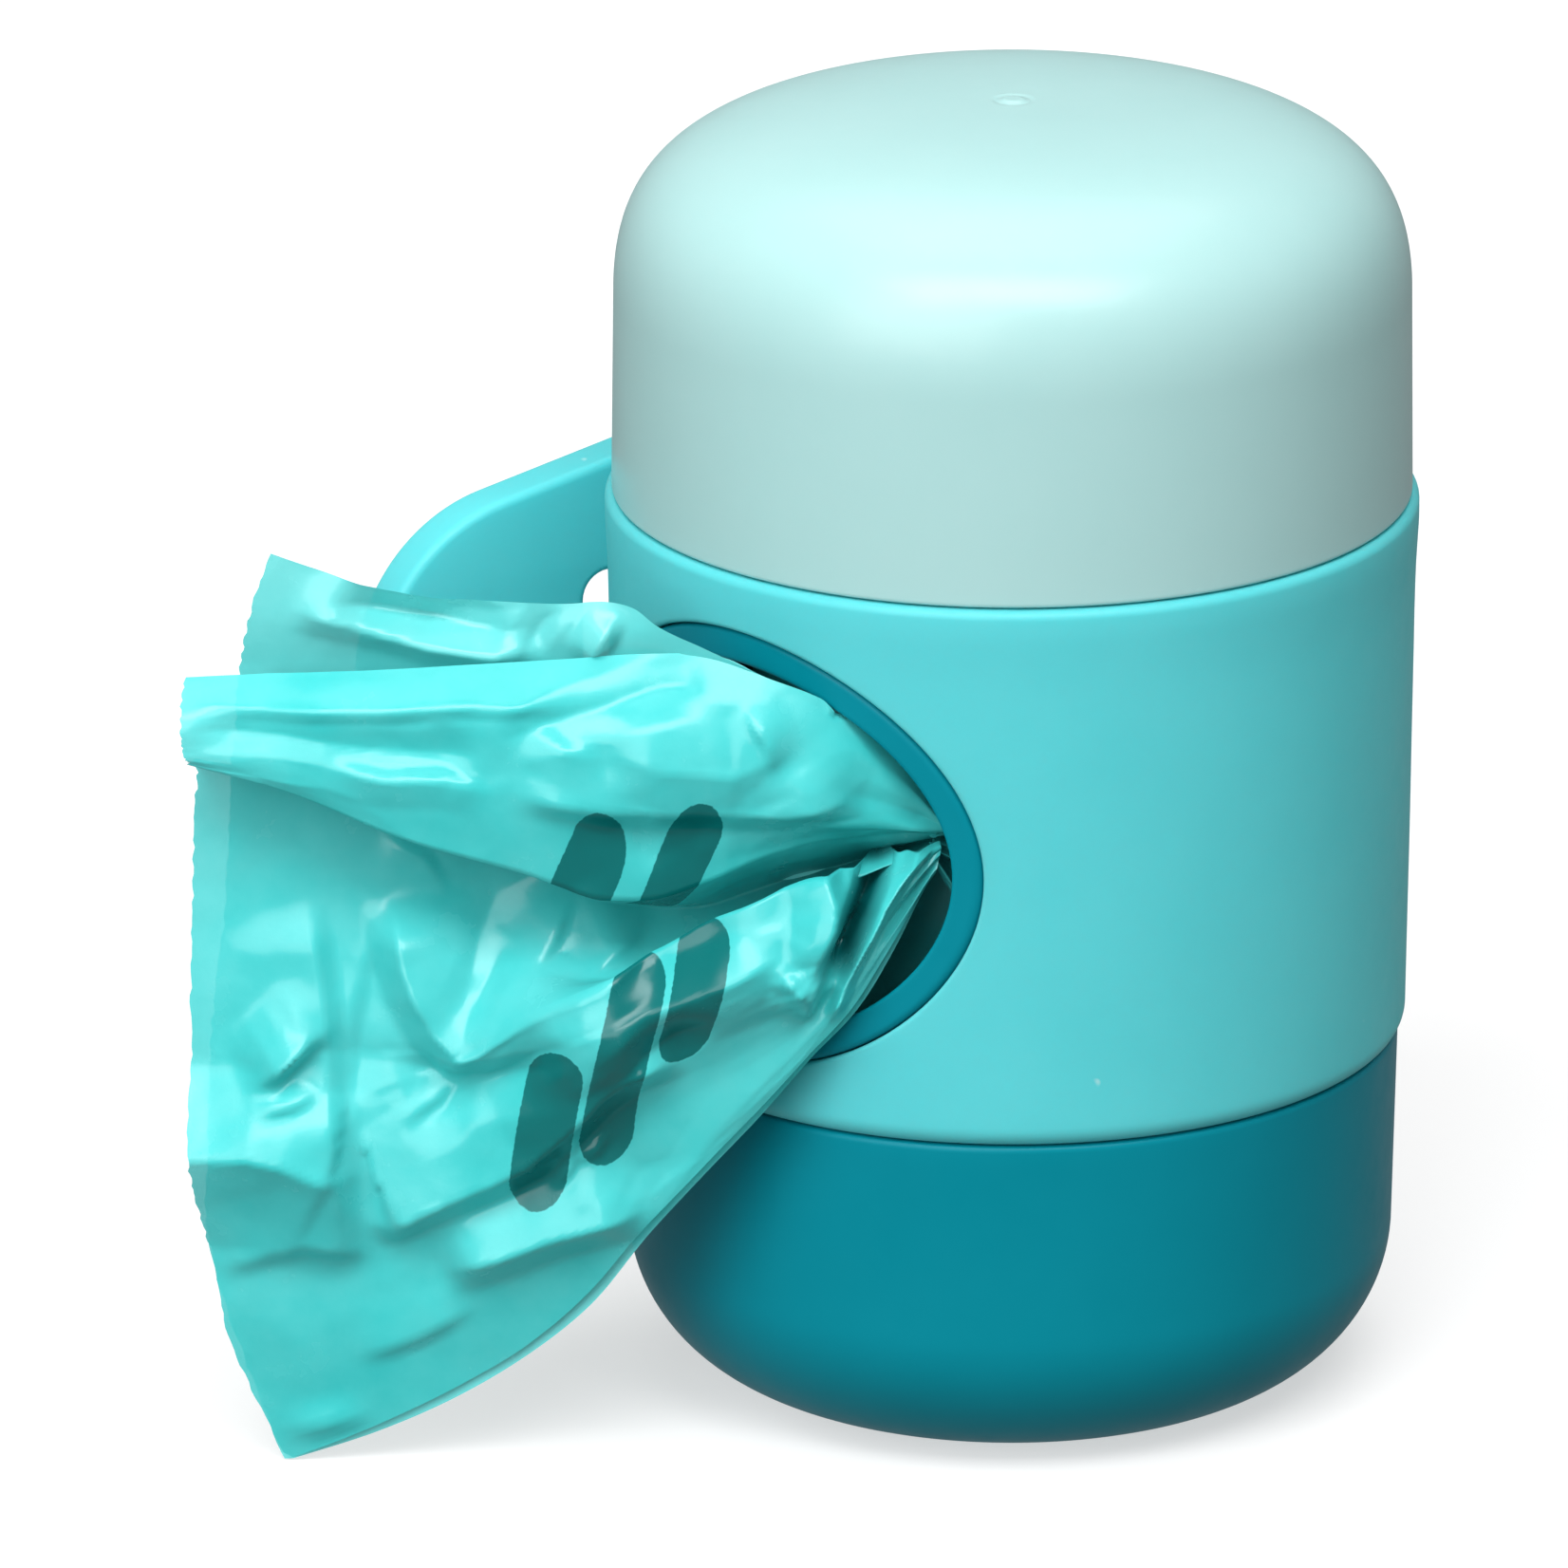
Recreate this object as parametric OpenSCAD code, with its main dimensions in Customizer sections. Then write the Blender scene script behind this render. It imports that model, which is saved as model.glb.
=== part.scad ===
// Pet waste bag dispenser: a capsule with a dome cap, a soft sleeve with a
// slotted tab, an inner barrel with an oval dispensing collar, and a roll of
// bags on a paper core with the leading bag drawn out through the collar.
// Origin: centre of the foot, on the surface it stands on. +Z up, the
// dispensing opening faces -Y, the tab is on the -X side. Millimetres.

/* [Capsule] */
// Height over everything, foot to the top of the dome
total_h = 75.75; // [75:0.05:77]
// Height of the seam between the cap and the sleeve
seam_z = 52.9; // [52.5:0.1:53.3]
// Height of the shoulder that the sleeve stands on
shoulder_z = 20.9; // [20.5:0.1:21.3]

/* [Cap] */
// Outer radius of the cap at its lower edge
cap_r = 22.85; // [22.7:0.01:22.9]
// Outer radius of the cap where the dome begins
cap_top_r = 22.68; // [22.5:0.01:22.7]
// Height where the dome begins
dome_z = 64.6; // [64:0.1:65.5]
// Wall of the cap
cap_wall = 1.85; // [1.7:0.05:1.9]
// Depth that the cap's skirt covers the neck
skirt_h = 9.0; // [8:0.1:9.5]
// Gap between the cap's lower edge and the sleeve's lip
cap_gap = 0.30; // [0.25:0.05:0.5]

/* [Sleeve] */
// Outer radius of the sleeve at its middle
sleeve_r = 22.98; // [22.9:0.01:23.1]
// Outer radius of the rolled lip at the top
lip_r = 23.24; // [23.15:0.01:23.3]
// Outer radius just above the lower edge
sleeve_low_r = 22.80; // [22.7:0.01:22.85]
// Rounding of the lower edge
low_round = 0.9; // [0.6:0.1:1.0]
// Interference of the sleeve on the barrel
grip = 0.05; // [0.02:0.01:0.08]

/* [Opening] */
// Half width of the sleeve's oval cut-out
cut_a = 14.25; // [14.1:0.01:14.6]
// Half height of the sleeve's oval cut-out
cut_b = 12.75; // [12.5:0.01:12.9]
// Height of the opening's centre
open_z = 36.95; // [36.5:0.05:37.4]
// Half width of the hole through the collar
hole_a = 12.75; // [12.4:0.01:12.9]
// Half height of the hole through the collar
hole_b = 10.80; // [10.4:0.01:10.9]
// Gap between the collar and the sleeve's cut-out
collar_gap = 0.10; // [0.06:0.01:0.2]
// Radius of the collar's outer face
collar_r = 22.86; // [22.7:0.01:22.9]

/* [Tab] */
// Direction that the tab points in, in plan
tab_dir = 252.5; // [250:0.5:255]
// Thickness of the tab
tab_t = 3.1; // [2.9:0.1:3.3]
// Distance of the tab's outer face from the axis
tab_face = 22.9; // [22.8:0.05:23.0]
// Length of the tab from the point where it touches the body
tab_len = 30.7; // [30:0.1:31.5]
// Rounding of the tab's two corners
tab_round = 10.4; // [9.5:0.1:11]
// Slope of the tab's upper and lower edges
tab_slope = 12; // [11:0.5:13]
// Far end of the slot, along the tab
slot_far = 17.0; // [16.8:0.1:17.4]
// Near end of the slot, along the tab
slot_near = 11.4; // [11.2:0.1:11.6]
// Height of the slot
slot_h = 15.2; // [14.5:0.1:15.6]
// Rounding of the slot's corners
slot_round = 1.6; // [1.2:0.1:1.9]

/* [Barrel] */
// Radius of the base just under the shoulder
base_r = 22.40; // [22.3:0.01:22.45]
// Radius of the base where the bottom rounding begins
base_low_r = 22.15; // [22.05:0.01:22.2]
// Rounding of the bottom edge
base_round = 9.1; // [8.8:0.1:9.4]
// Outer radius of the barrel under the sleeve
barrel_r = 21.40; // [21.3:0.01:21.45]
// Radius of the chamber that holds the roll
chamber_r = 19.60; // [19.4:0.05:19.7]
// Thickness of the floor
floor_t = 2.2; // [2:0.1:2.4]
// Outer radius of the neck that the cap slides over
neck_r = 20.93; // [20.91:0.01:20.95]
// Height of the neck over the seam
neck_h = 8.6; // [8:0.1:8.7]

/* [Roll] */
// Length of the roll and of its core
roll_l = 57; // [55:0.5:57.5]
// Outer radius of the wound bags
roll_r = 15.0; // [14:0.1:15.2]
// Outer radius of the paper core
core_r = 6.5; // [6:0.1:7]
// Wall of the paper core
core_wall = 1.1; // [0.9:0.1:1.4]
// Height that the roll stands over the chamber's floor
roll_lift = 6.2; // [5.8:0.1:6.4]
// Turn of the leading bag from the opening's axis towards the tab
pull_turn = 42.5; // [41:0.5:44]

/* [Hidden] */
$fn = 96;

aqua_pale = [0.72, 0.90, 0.88];
aqua = [0.38, 0.82, 0.82];
teal = [0.00, 0.52, 0.58];
kraft = [0.72, 0.60, 0.45];
film = [0.45, 0.88, 0.86];

cap_bore_r = 21.0;                 // radius of the skirt's bore, over the neck
cap_low_z = seam_z + cap_gap;      // lower edge of the cap
sleeve_top_z = seam_z;
sleeve_mid_z = (shoulder_z + sleeve_top_z) / 2;
roll_z = floor_t + roll_lift;
neck_top_z = seam_z + neck_h;

// A point of a cubic Bezier curve
function bez(a, b, c, d, t) =
    a*(1-t)*(1-t)*(1-t) + b*3*t*(1-t)*(1-t) + c*3*t*t*(1-t) + d*t*t*t;

// An oval, half width a, half height b
module oval(a, b) {
    scale([1, b/a]) circle(a, $fn = 128);
}

// The oval as a bar along -Y, from y0 outwards
module oval_bar(a, b, y0, y1) {
    translate([0, y0, open_z]) rotate([90, 0, 0]) linear_extrude(y0-y1) oval(a, b);
}

// ---- cap: a dome with a skirt that slides over the barrel's neck ----
module cap() {
    n = 28;
    w = cap_wall;
    outer = [for (i = [0:n]) bez([cap_top_r, dome_z], [cap_top_r, 72.75], [17.8, total_h], [0, total_h], i/n)];
    inner = [for (i = [0:n]) bez([0, total_h-w-0.1], [16.2, total_h-w-0.1], [cap_top_r-w-0.35, 71.2], [cap_top_r-w-0.35, dome_z-0.6], i/n)];
    color(aqua_pale) union() {
        difference() {
            rotate_extrude($fn = 128) polygon(concat(
                [[cap_bore_r+0.3, cap_low_z], [cap_r-0.25, cap_low_z], [cap_r, cap_low_z+0.25]],
                outer, inner,
                [[cap_top_r-w-0.35, cap_low_z+skirt_h], [cap_bore_r, cap_low_z+skirt_h], [cap_bore_r, cap_low_z+0.3]]));
            // groove that the neck's bead rests in
            rotate_extrude($fn = 128) translate([cap_bore_r, seam_z+4.6]) circle(0.30, $fn = 24);
        }
        // mark left by the moulding gate at the top of the dome
        translate([0, 0, total_h-0.35]) cylinder(r = 0.75, h = 0.45, $fn = 32);
    }
}

// ---- sleeve: soft moulded tube with an oval cut-out and a slotted tab ----
module tab_outline() {
    // s runs along the tab, 0 where its outer face is nearest the axis
    zc = sleeve_mid_z;
    half = (sleeve_top_z - shoulder_z)/2 - 0.7;
    cx = tab_len - tab_round;
    // centre height of the corner arcs, so that the sloped edge is tangent
    s0 = 11.3;
    cz = half - (cx-s0)*tan(tab_slope) - tab_round/cos(tab_slope);
    n = 24;
    upper = [for (i = [0:n]) let (t = tab_slope + (90-tab_slope)*i/n)
        [cx + tab_round*sin(t), cz + tab_round*cos(t)]];
    lower = [for (i = [n:-1:0]) [upper[i][0], -upper[i][1]]];
    translate([0, zc]) difference() {
        polygon(concat([[0.5, -half], [0.5, half], [s0, half]], upper, lower, [[s0, -half]]));
        // slot with rounded corners
        hull() for (x = [slot_near+slot_round, slot_far-slot_round], z = [-1, 1])
            translate([x, z*(slot_h/2-slot_round)]) circle(slot_round, $fn = 48);
    }
}

// The tab in plan: its outer face leaves the body at a shallow angle
module tab_plan() {
    polygon([[0.5, -tab_face+tab_t], [0.5, -tab_face+0.42], [4.7, -tab_face],
        [tab_len+1, -tab_face], [tab_len+1, -tab_face+tab_t]]);
}

module silicone_sleeve() {
    color(aqua) difference() {
        union() {
            rotate_extrude($fn = 128) union() {
                polygon([
                    [barrel_r-grip, shoulder_z+0.05], [sleeve_low_r-low_round, shoulder_z+0.05],
                    [sleeve_low_r-0.25, shoulder_z+0.25], [sleeve_low_r-0.05, shoulder_z+0.65],
                    [sleeve_low_r, shoulder_z+low_round+0.3],
                    [22.87, sleeve_top_z-25.3], [22.94, sleeve_top_z-20], [sleeve_r, sleeve_top_z-14.9],
                    [23.03, sleeve_top_z-9.6], [23.06, sleeve_top_z-6.2], [23.10, sleeve_top_z-4.4],
                    [23.18, sleeve_top_z-2.7], [lip_r, sleeve_top_z-1.5], [lip_r, sleeve_top_z-0.6],
                    [lip_r-0.12, sleeve_top_z-0.25], [lip_r-0.42, sleeve_top_z-0.02],
                    [barrel_r-grip, sleeve_top_z-0.02]]);
            }
            rotate([0, 0, tab_dir]) intersection() {
                translate([0, -tab_face+tab_t+1, 0]) rotate([90, 0, 0]) linear_extrude(tab_t+2) tab_outline();
                translate([0, 0, shoulder_z-1]) linear_extrude(sleeve_top_z-shoulder_z+2) tab_plan();
            }
        }
        // everything inside the sleeve's own bore
        translate([0, 0, shoulder_z-5]) cylinder(r = barrel_r-grip, h = 50, $fn = 128);
        // oval cut-out for the collar
        oval_bar(cut_a, cut_b, -10, -30);
    }
}

// ---- barrel: base cup, chamber, neck and dispensing collar in one moulding ----
module inner_barrel() {
    rf = base_low_r - base_round;
    ri = chamber_r - 7.2;
    n = 20;
    color(teal) difference() {
        union() {
            // base cup with its rounded bottom edge
            rotate_extrude($fn = 128) polygon(concat([[0, 0]],
                [for (i = [0:n]) [rf + base_round*sin(90*i/n), base_round - base_round*cos(90*i/n)]],
                [[base_r, shoulder_z-0.45], [base_r-0.12, shoulder_z-0.12], [base_r-0.45, shoulder_z], [0, shoulder_z]]));
            // barrel under the sleeve, then the neck with a low bead
            translate([0, 0, shoulder_z-3]) cylinder(r = barrel_r, h = seam_z-shoulder_z+3, $fn = 128);
            translate([0, 0, shoulder_z-3]) cylinder(r = neck_r, h = neck_top_z-shoulder_z+3, $fn = 128);
            rotate_extrude($fn = 128) translate([neck_r-0.17, seam_z+4.6]) circle(0.22, $fn = 24);
            // raised collar that fills the sleeve's cut-out
            intersection() {
                oval_bar(cut_a-collar_gap, cut_b-collar_gap, -12, -30);
                cylinder(r = collar_r, h = 60, $fn = 128);
            }
        }
        // chamber, with a rounded floor
        rotate_extrude($fn = 128) polygon(concat([[0, floor_t]],
            [for (i = [0:n]) [ri + 7.2*sin(90*i/n), floor_t + 7.2 - 7.2*cos(90*i/n)]],
            [[chamber_r, 80], [0, 80]]));
        // dispensing hole
        oval_bar(hole_a, hole_b, -10, -30);
    }
}

// ---- paper core of the roll ----
module roll_core() {
    color(kraft) translate([0, 0, roll_z]) difference() {
        cylinder(r = core_r, h = roll_l, $fn = 64);
        translate([0, 0, -1]) cylinder(r = core_r-core_wall, h = roll_l+2, $fn = 64);
    }
}

// ---- bags still wound on the core ----
module bag_roll() {
    color(film) translate([0, 0, roll_z]) difference() {
        cylinder(r = roll_r, h = roll_l, $fn = 96);
        translate([0, 0, -1]) cylinder(r = core_r, h = roll_l+2, $fn = 96);
    }
}

// ---- leading bag: gathered through the hole, fanned out beyond it ----
// The film's own frame: drawn out along -X, its face towards -Y
fan_r = 1.5;       // half thickness of the fan at its far edge
fan = [            // corners and edges of the fan: x, y, z
    [-40.1, -17.3, 52.9], [-45.1, -19.0, 46.0], [-45.1, -19.0, 20.0], [-40.2, -18.3, 1.7],
    [-30.0, -19.2, 6.2], [-16.6, -21.8, 20.2], [-10.4, -23.4, 28.0], [-8.2, -23.7, 33.6],
    [-11.0, -22.5, 45.0], [-22.0, -19.0, 50.2]];

module pulled_bag() {
    color(film) rotate([0, 0, pull_turn]) union() {
        // gathered neck inside the hole
        translate([-5.3, -18.5, open_z+1.45]) rotate([0, -90, 0]) cylinder(r = 3.2, h = 11.7, $fn = 48);
        hull() for (p = fan) translate(p) sphere(fan_r, $fn = 16);
    }
}

cap();
silicone_sleeve();
inner_barrel();
roll_core();
bag_roll();
pulled_bag();
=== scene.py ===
"""Pet waste bag dispenser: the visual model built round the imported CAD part.

Row frame, metres; lengths in this file are in millimetres until they are turned into a mesh.
"""
import math

import bmesh
import bpy
import numpy as np
from mathutils import Matrix, Vector


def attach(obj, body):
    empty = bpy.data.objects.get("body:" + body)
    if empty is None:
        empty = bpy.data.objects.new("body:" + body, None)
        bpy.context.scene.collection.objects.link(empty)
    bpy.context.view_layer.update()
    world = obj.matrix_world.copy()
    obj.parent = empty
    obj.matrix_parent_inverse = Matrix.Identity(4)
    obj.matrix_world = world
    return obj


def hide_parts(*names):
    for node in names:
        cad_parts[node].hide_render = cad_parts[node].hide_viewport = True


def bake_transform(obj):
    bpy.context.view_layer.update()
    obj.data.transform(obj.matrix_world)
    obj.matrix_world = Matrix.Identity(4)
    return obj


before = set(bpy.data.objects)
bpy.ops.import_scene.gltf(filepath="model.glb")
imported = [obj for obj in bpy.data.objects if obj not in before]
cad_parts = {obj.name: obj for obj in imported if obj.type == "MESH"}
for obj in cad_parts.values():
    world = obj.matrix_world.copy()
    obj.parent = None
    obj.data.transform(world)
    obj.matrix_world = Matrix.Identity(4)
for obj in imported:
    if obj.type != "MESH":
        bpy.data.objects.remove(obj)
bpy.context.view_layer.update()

MM = 0.001
rng = np.random.default_rng(7)
DETAIL = 1.0

# ------------------------------------------------------------------ sizes (mm)
TOTAL_H, SEAM, SHOULDER = 75.75, 52.9, 20.9
OPEN_Z = 36.95
CUT_A, CUT_B = 14.25, 12.75          # oval cut-out in the sleeve
HOLE_A, HOLE_B = 12.75, 10.80        # hole through the collar
COLLAR_R, BARREL_R, CHAMBER_R, NECK_R = 22.86, 21.40, 19.60, 20.93
TAB_DIR, TAB_T, TAB_FACE, TAB_LEN, TAB_ROUND, TAB_SLOPE = 252.5, 3.1, 22.9, 30.7, 10.4, 12.0
ROLL_Z, ROLL_L, ROLL_R, CORE_R, CORE_W = 8.4, 57.0, 15.0, 6.5, 1.1
FILM_TURN = math.radians(42.5)       # the film's own frame: drawn out along -X, face towards -Y


# ------------------------------------------------------------------ materials
def new_material(name):
    m = bpy.data.materials.new(name)
    m.use_nodes = True
    m.node_tree.nodes.clear()
    return m, m.node_tree.nodes, m.node_tree.links


def add(nodes, kind, **inputs):
    n = nodes.new(kind)
    for k, v in inputs.items():
        n.inputs[k.replace("_", " ")].default_value = v
    return n


def noise(nodes, links, coords, scale, detail=3.0, rough=0.55):
    n = nodes.new("ShaderNodeTexNoise")
    n.inputs["Scale"].default_value = scale
    n.inputs["Detail"].default_value = detail
    n.inputs["Roughness"].default_value = rough
    links.new(coords, n.inputs["Vector"])
    return n


def ramp(nodes, links, fac, stops):
    r = nodes.new("ShaderNodeValToRGB")
    el = r.color_ramp.elements
    while len(el) > 1:
        el.remove(el[-1])
    el[0].position, el[0].color = stops[0][0], (*stops[0][1], 1)
    for p, c in stops[1:]:
        e = el.new(p)
        e.color = (*c, 1)
    links.new(fac, r.inputs["Fac"])
    return r


def map_range(nodes, links, value, a, b, c, d):
    m = nodes.new("ShaderNodeMapRange")
    for k, v in zip(("From Min", "From Max", "To Min", "To Max"), (a, b, c, d)):
        m.inputs[k].default_value = v
    links.new(value, m.inputs["Value"])
    return m


def moulded(name, dark, light, rough, rough_var=0.06, grain=2600.0, grain_depth=0.004, wave=260.0,
            wave_depth=0.02, specks=0.0, sss=0.0, sss_radius=(0.002, 0.002, 0.002), coat=0.0, ior=1.46, spec=0.5):
    """Moulded plastic or rubber: slight mottling, fine grain, soft waviness and a few dust specks."""
    m, nodes, links = new_material(name)
    out = nodes.new("ShaderNodeOutputMaterial")
    p = nodes.new("ShaderNodeBsdfPrincipled")
    p.inputs["IOR"].default_value = ior
    p.inputs["Specular IOR Level"].default_value = spec
    if coat:
        p.inputs["Coat Weight"].default_value = coat
        p.inputs["Coat Roughness"].default_value = 0.12
    if sss:
        p.inputs["Subsurface Weight"].default_value = sss
        p.inputs["Subsurface Radius"].default_value = sss_radius
        p.inputs["Subsurface Scale"].default_value = 1.0
    coords = nodes.new("ShaderNodeTexCoord").outputs["Object"]
    mottle = noise(nodes, links, coords, 90.0, 4.0, 0.6)
    colour = ramp(nodes, links, mottle.outputs["Fac"], [(0.30, dark), (0.70, light)])
    base = colour.outputs["Color"]
    if specks:
        dots = nodes.new("ShaderNodeTexVoronoi")
        dots.feature = "F1"
        dots.inputs["Scale"].default_value = 210.0
        dots.inputs["Randomness"].default_value = 1.0
        links.new(coords, dots.inputs["Vector"])
        where = noise(nodes, links, coords, 130.0, 2.0, 0.5)
        keep = map_range(nodes, links, where.outputs["Fac"], 0.66 - specks, 0.69 - specks, 0.0, 1.0)
        spot = map_range(nodes, links, dots.outputs["Distance"], 0.035, 0.075, 1.0, 0.0)
        both = nodes.new("ShaderNodeMath")
        both.operation = "MULTIPLY"
        links.new(keep.outputs["Result"], both.inputs[0])
        links.new(spot.outputs["Result"], both.inputs[1])
        mix = nodes.new("ShaderNodeMix")
        mix.data_type = "RGBA"
        links.new(both.outputs["Value"], mix.inputs["Factor"])
        links.new(base, mix.inputs["A"])
        mix.inputs["B"].default_value = (0.80, 0.88, 0.86, 1)
        base = mix.outputs["Result"]
    links.new(base, p.inputs["Base Color"])
    wear = noise(nodes, links, coords, 420.0, 5.0, 0.65)
    r = map_range(nodes, links, wear.outputs["Fac"], 0.3, 0.7, rough - rough_var, rough + rough_var)
    links.new(r.outputs["Result"], p.inputs["Roughness"])
    fine = noise(nodes, links, coords, grain, 2.0, 0.5)
    soft = noise(nodes, links, coords, wave, 2.0, 0.5)
    b1 = nodes.new("ShaderNodeBump")
    b1.inputs["Strength"].default_value = 0.35
    b1.inputs["Distance"].default_value = grain_depth * MM
    links.new(fine.outputs["Fac"], b1.inputs["Height"])
    b2 = nodes.new("ShaderNodeBump")
    b2.inputs["Strength"].default_value = 0.30
    b2.inputs["Distance"].default_value = wave_depth * MM
    links.new(soft.outputs["Fac"], b2.inputs["Height"])
    links.new(b1.outputs["Normal"], b2.inputs["Normal"])
    links.new(b2.outputs["Normal"], p.inputs["Normal"])
    links.new(p.outputs["BSDF"], out.inputs["Surface"])
    return m


def paper(name):
    """Kraft paper tube, wound in a spiral."""
    m, nodes, links = new_material(name)
    out = nodes.new("ShaderNodeOutputMaterial")
    p = nodes.new("ShaderNodeBsdfPrincipled")
    p.inputs["Specular IOR Level"].default_value = 0.25
    coords = nodes.new("ShaderNodeTexCoord").outputs["Object"]
    fibre = noise(nodes, links, coords, 1500.0, 6.0, 0.7)
    colour = ramp(nodes, links, fibre.outputs["Fac"], [(0.30, (0.33, 0.23, 0.14)), (0.55, (0.48, 0.36, 0.24)), (0.75, (0.58, 0.46, 0.33))])
    links.new(colour.outputs["Color"], p.inputs["Base Color"])
    r = map_range(nodes, links, fibre.outputs["Fac"], 0.3, 0.7, 0.75, 0.92)
    links.new(r.outputs["Result"], p.inputs["Roughness"])
    b = nodes.new("ShaderNodeBump")
    b.inputs["Strength"].default_value = 0.5
    b.inputs["Distance"].default_value = 0.03 * MM
    links.new(fibre.outputs["Fac"], b.inputs["Height"])
    links.new(b.outputs["Normal"], p.inputs["Normal"])
    links.new(p.outputs["BSDF"], out.inputs["Surface"])
    return m


def film(name, printed=True, see_through=0.07, back_light=0.15, tint=0.0, depth=1.0):
    """Thin glossy polyethylene film: part reflecting, part translucent, slightly see-through."""
    m, nodes, links = new_material(name)
    out = nodes.new("ShaderNodeOutputMaterial")
    p = nodes.new("ShaderNodeBsdfPrincipled")
    p.inputs["IOR"].default_value = 1.50
    p.inputs["Specular IOR Level"].default_value = 0.52
    p.inputs["Specular Tint"].default_value = (0.93, 1.0, 1.0, 1)
    p.inputs["Coat Weight"].default_value = 0.25
    p.inputs["Coat Roughness"].default_value = 0.45
    p.inputs["Coat IOR"].default_value = 1.6
    coords = nodes.new("ShaderNodeTexCoord").outputs["Object"]
    cloud = noise(nodes, links, coords, 120.0, 5.0, 0.6)
    stops = [(0.28, (0.042, 0.67, 0.665)), (0.50, (0.078, 0.73, 0.725)), (0.74, (0.125, 0.78, 0.775))]
    stops = [(at, (depth * (c[0] + tint), depth * (c[1] + 0.2 * tint), depth * (c[2] + 0.2 * tint))) for at, c in stops]
    colour = ramp(nodes, links, cloud.outputs["Fac"], stops)
    base = colour.outputs["Color"]
    if printed:
        layer = nodes.new("ShaderNodeVertexColor")
        layer.layer_name = "print"
        screen = noise(nodes, links, coords, 3200.0, 1.0, 0.5)
        edge = nodes.new("ShaderNodeMath")
        edge.operation = "MULTIPLY_ADD"
        links.new(screen.outputs["Fac"], edge.inputs[0])
        edge.inputs[1].default_value = 0.22
        links.new(layer.outputs["Color"], edge.inputs[2])
        ink = map_range(nodes, links, edge.outputs["Value"], 0.56, 0.66, 0.0, 1.0)
        mix = nodes.new("ShaderNodeMix")
        mix.data_type = "RGBA"
        links.new(ink.outputs["Result"], mix.inputs["Factor"])
        links.new(base, mix.inputs["A"])
        mix.inputs["B"].default_value = (0.0, 0.185, 0.182, 1)
        base = mix.outputs["Result"]
        sheen = map_range(nodes, links, edge.outputs["Value"], 0.56, 0.66, 0.25, 0.0)
        links.new(sheen.outputs["Result"], p.inputs["Coat Weight"])
        # painted shade: the "fold" attribute darkens the colour where the film lies in shade (in its closed folds, the
        # neck pocket and inside the hole), with some of the deepening that doubled layers give
        pocket_shade = nodes.new("ShaderNodeVertexColor")
        pocket_shade.layer_name = "fold"
        shade_mix = nodes.new("ShaderNodeMix")
        shade_mix.data_type = "RGBA"
        shade_mix.blend_type = "MULTIPLY"
        links.new(pocket_shade.outputs["Color"], shade_mix.inputs["Factor"])
        links.new(base, shade_mix.inputs["A"])
        shade_mix.inputs["B"].default_value = (0.0, 0.22, 0.23, 1)
        base = shade_mix.outputs["Result"]
    links.new(base, p.inputs["Base Color"])
    haze = noise(nodes, links, coords, 240.0, 4.0, 0.6)
    r = map_range(nodes, links, haze.outputs["Fac"], 0.3, 0.7, 0.17, 0.30)
    links.new(r.outputs["Result"], p.inputs["Roughness"])
    crinkle = noise(nodes, links, coords, 900.0, 5.0, 0.62)
    fine = nodes.new("ShaderNodeBump")
    fine.inputs["Strength"].default_value = 0.55
    fine.inputs["Distance"].default_value = 0.035 * MM
    links.new(crinkle.outputs["Fac"], fine.inputs["Height"])
    # sharp little creases, in patches, drawn out along the film
    lay = nodes.new("ShaderNodeAttribute")
    lay.attribute_name = "lay"
    creases = nodes.new("ShaderNodeTexNoise")
    creases.noise_type = "RIDGED_MULTIFRACTAL"
    creases.normalize = False
    creases.inputs["Scale"].default_value = 190.0
    creases.inputs["Detail"].default_value = 2.0
    creases.inputs["Roughness"].default_value = 0.5
    creases.inputs["Distortion"].default_value = 0.5
    links.new(lay.outputs["Vector"], creases.inputs["Vector"])
    patches = noise(nodes, links, coords, 95.0, 2.0, 0.5)
    amount = map_range(nodes, links, patches.outputs["Fac"], 0.42, 0.66, 0.10, 0.75)
    b = nodes.new("ShaderNodeBump")
    b.inputs["Distance"].default_value = 0.20 * MM
    links.new(amount.outputs["Result"], b.inputs["Strength"])
    links.new(creases.outputs["Fac"], b.inputs["Height"])
    links.new(fine.outputs["Normal"], b.inputs["Normal"])
    links.new(b.outputs["Normal"], p.inputs["Normal"])
    through = nodes.new("ShaderNodeBsdfTranslucent")
    links.new(base, through.inputs["Color"])
    links.new(b.outputs["Normal"], through.inputs["Normal"])
    lit = nodes.new("ShaderNodeMixShader")
    lit.inputs["Fac"].default_value = back_light
    links.new(p.outputs["BSDF"], lit.inputs[1])
    links.new(through.outputs["BSDF"], lit.inputs[2])
    clear = nodes.new("ShaderNodeBsdfTransparent")
    clear.inputs["Color"].default_value = (0.70, 0.96, 0.96, 1)
    mixed = nodes.new("ShaderNodeMixShader")
    mixed.inputs["Fac"].default_value = see_through
    links.new(lit.outputs["Shader"], mixed.inputs[1])
    links.new(clear.outputs["BSDF"], mixed.inputs[2])
    links.new(mixed.outputs["Shader"], out.inputs["Surface"])
    return m


MAT_CAP = moulded("cap_plastic", (0.395, 0.655, 0.645), (0.412, 0.668, 0.658), rough=0.31, rough_var=0.03,
                  sss=0.12, sss_radius=(0.0012, 0.0018, 0.0018), specks=0.0)
MAT_SLEEVE = moulded("sleeve_silicone", (0.098, 0.610, 0.650), (0.112, 0.635, 0.675), rough=0.46, rough_var=0.05,
                     sss=0.35, sss_radius=(0.0004, 0.0022, 0.0022), spec=0.35, specks=0.035, grain_depth=0.006)
MAT_BARREL = moulded("barrel_plastic", (0.000, 0.225, 0.290), (0.001, 0.240, 0.310), rough=0.36, rough_var=0.04,
                     specks=0.02, ior=1.33, spec=0.22)
MAT_PAPER = paper("core_paper")
MAT_FILM = film("bag_film")
MAT_SINGLE = film("bag_film_single", see_through=0.04, back_light=0.12, tint=0.07)
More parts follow.
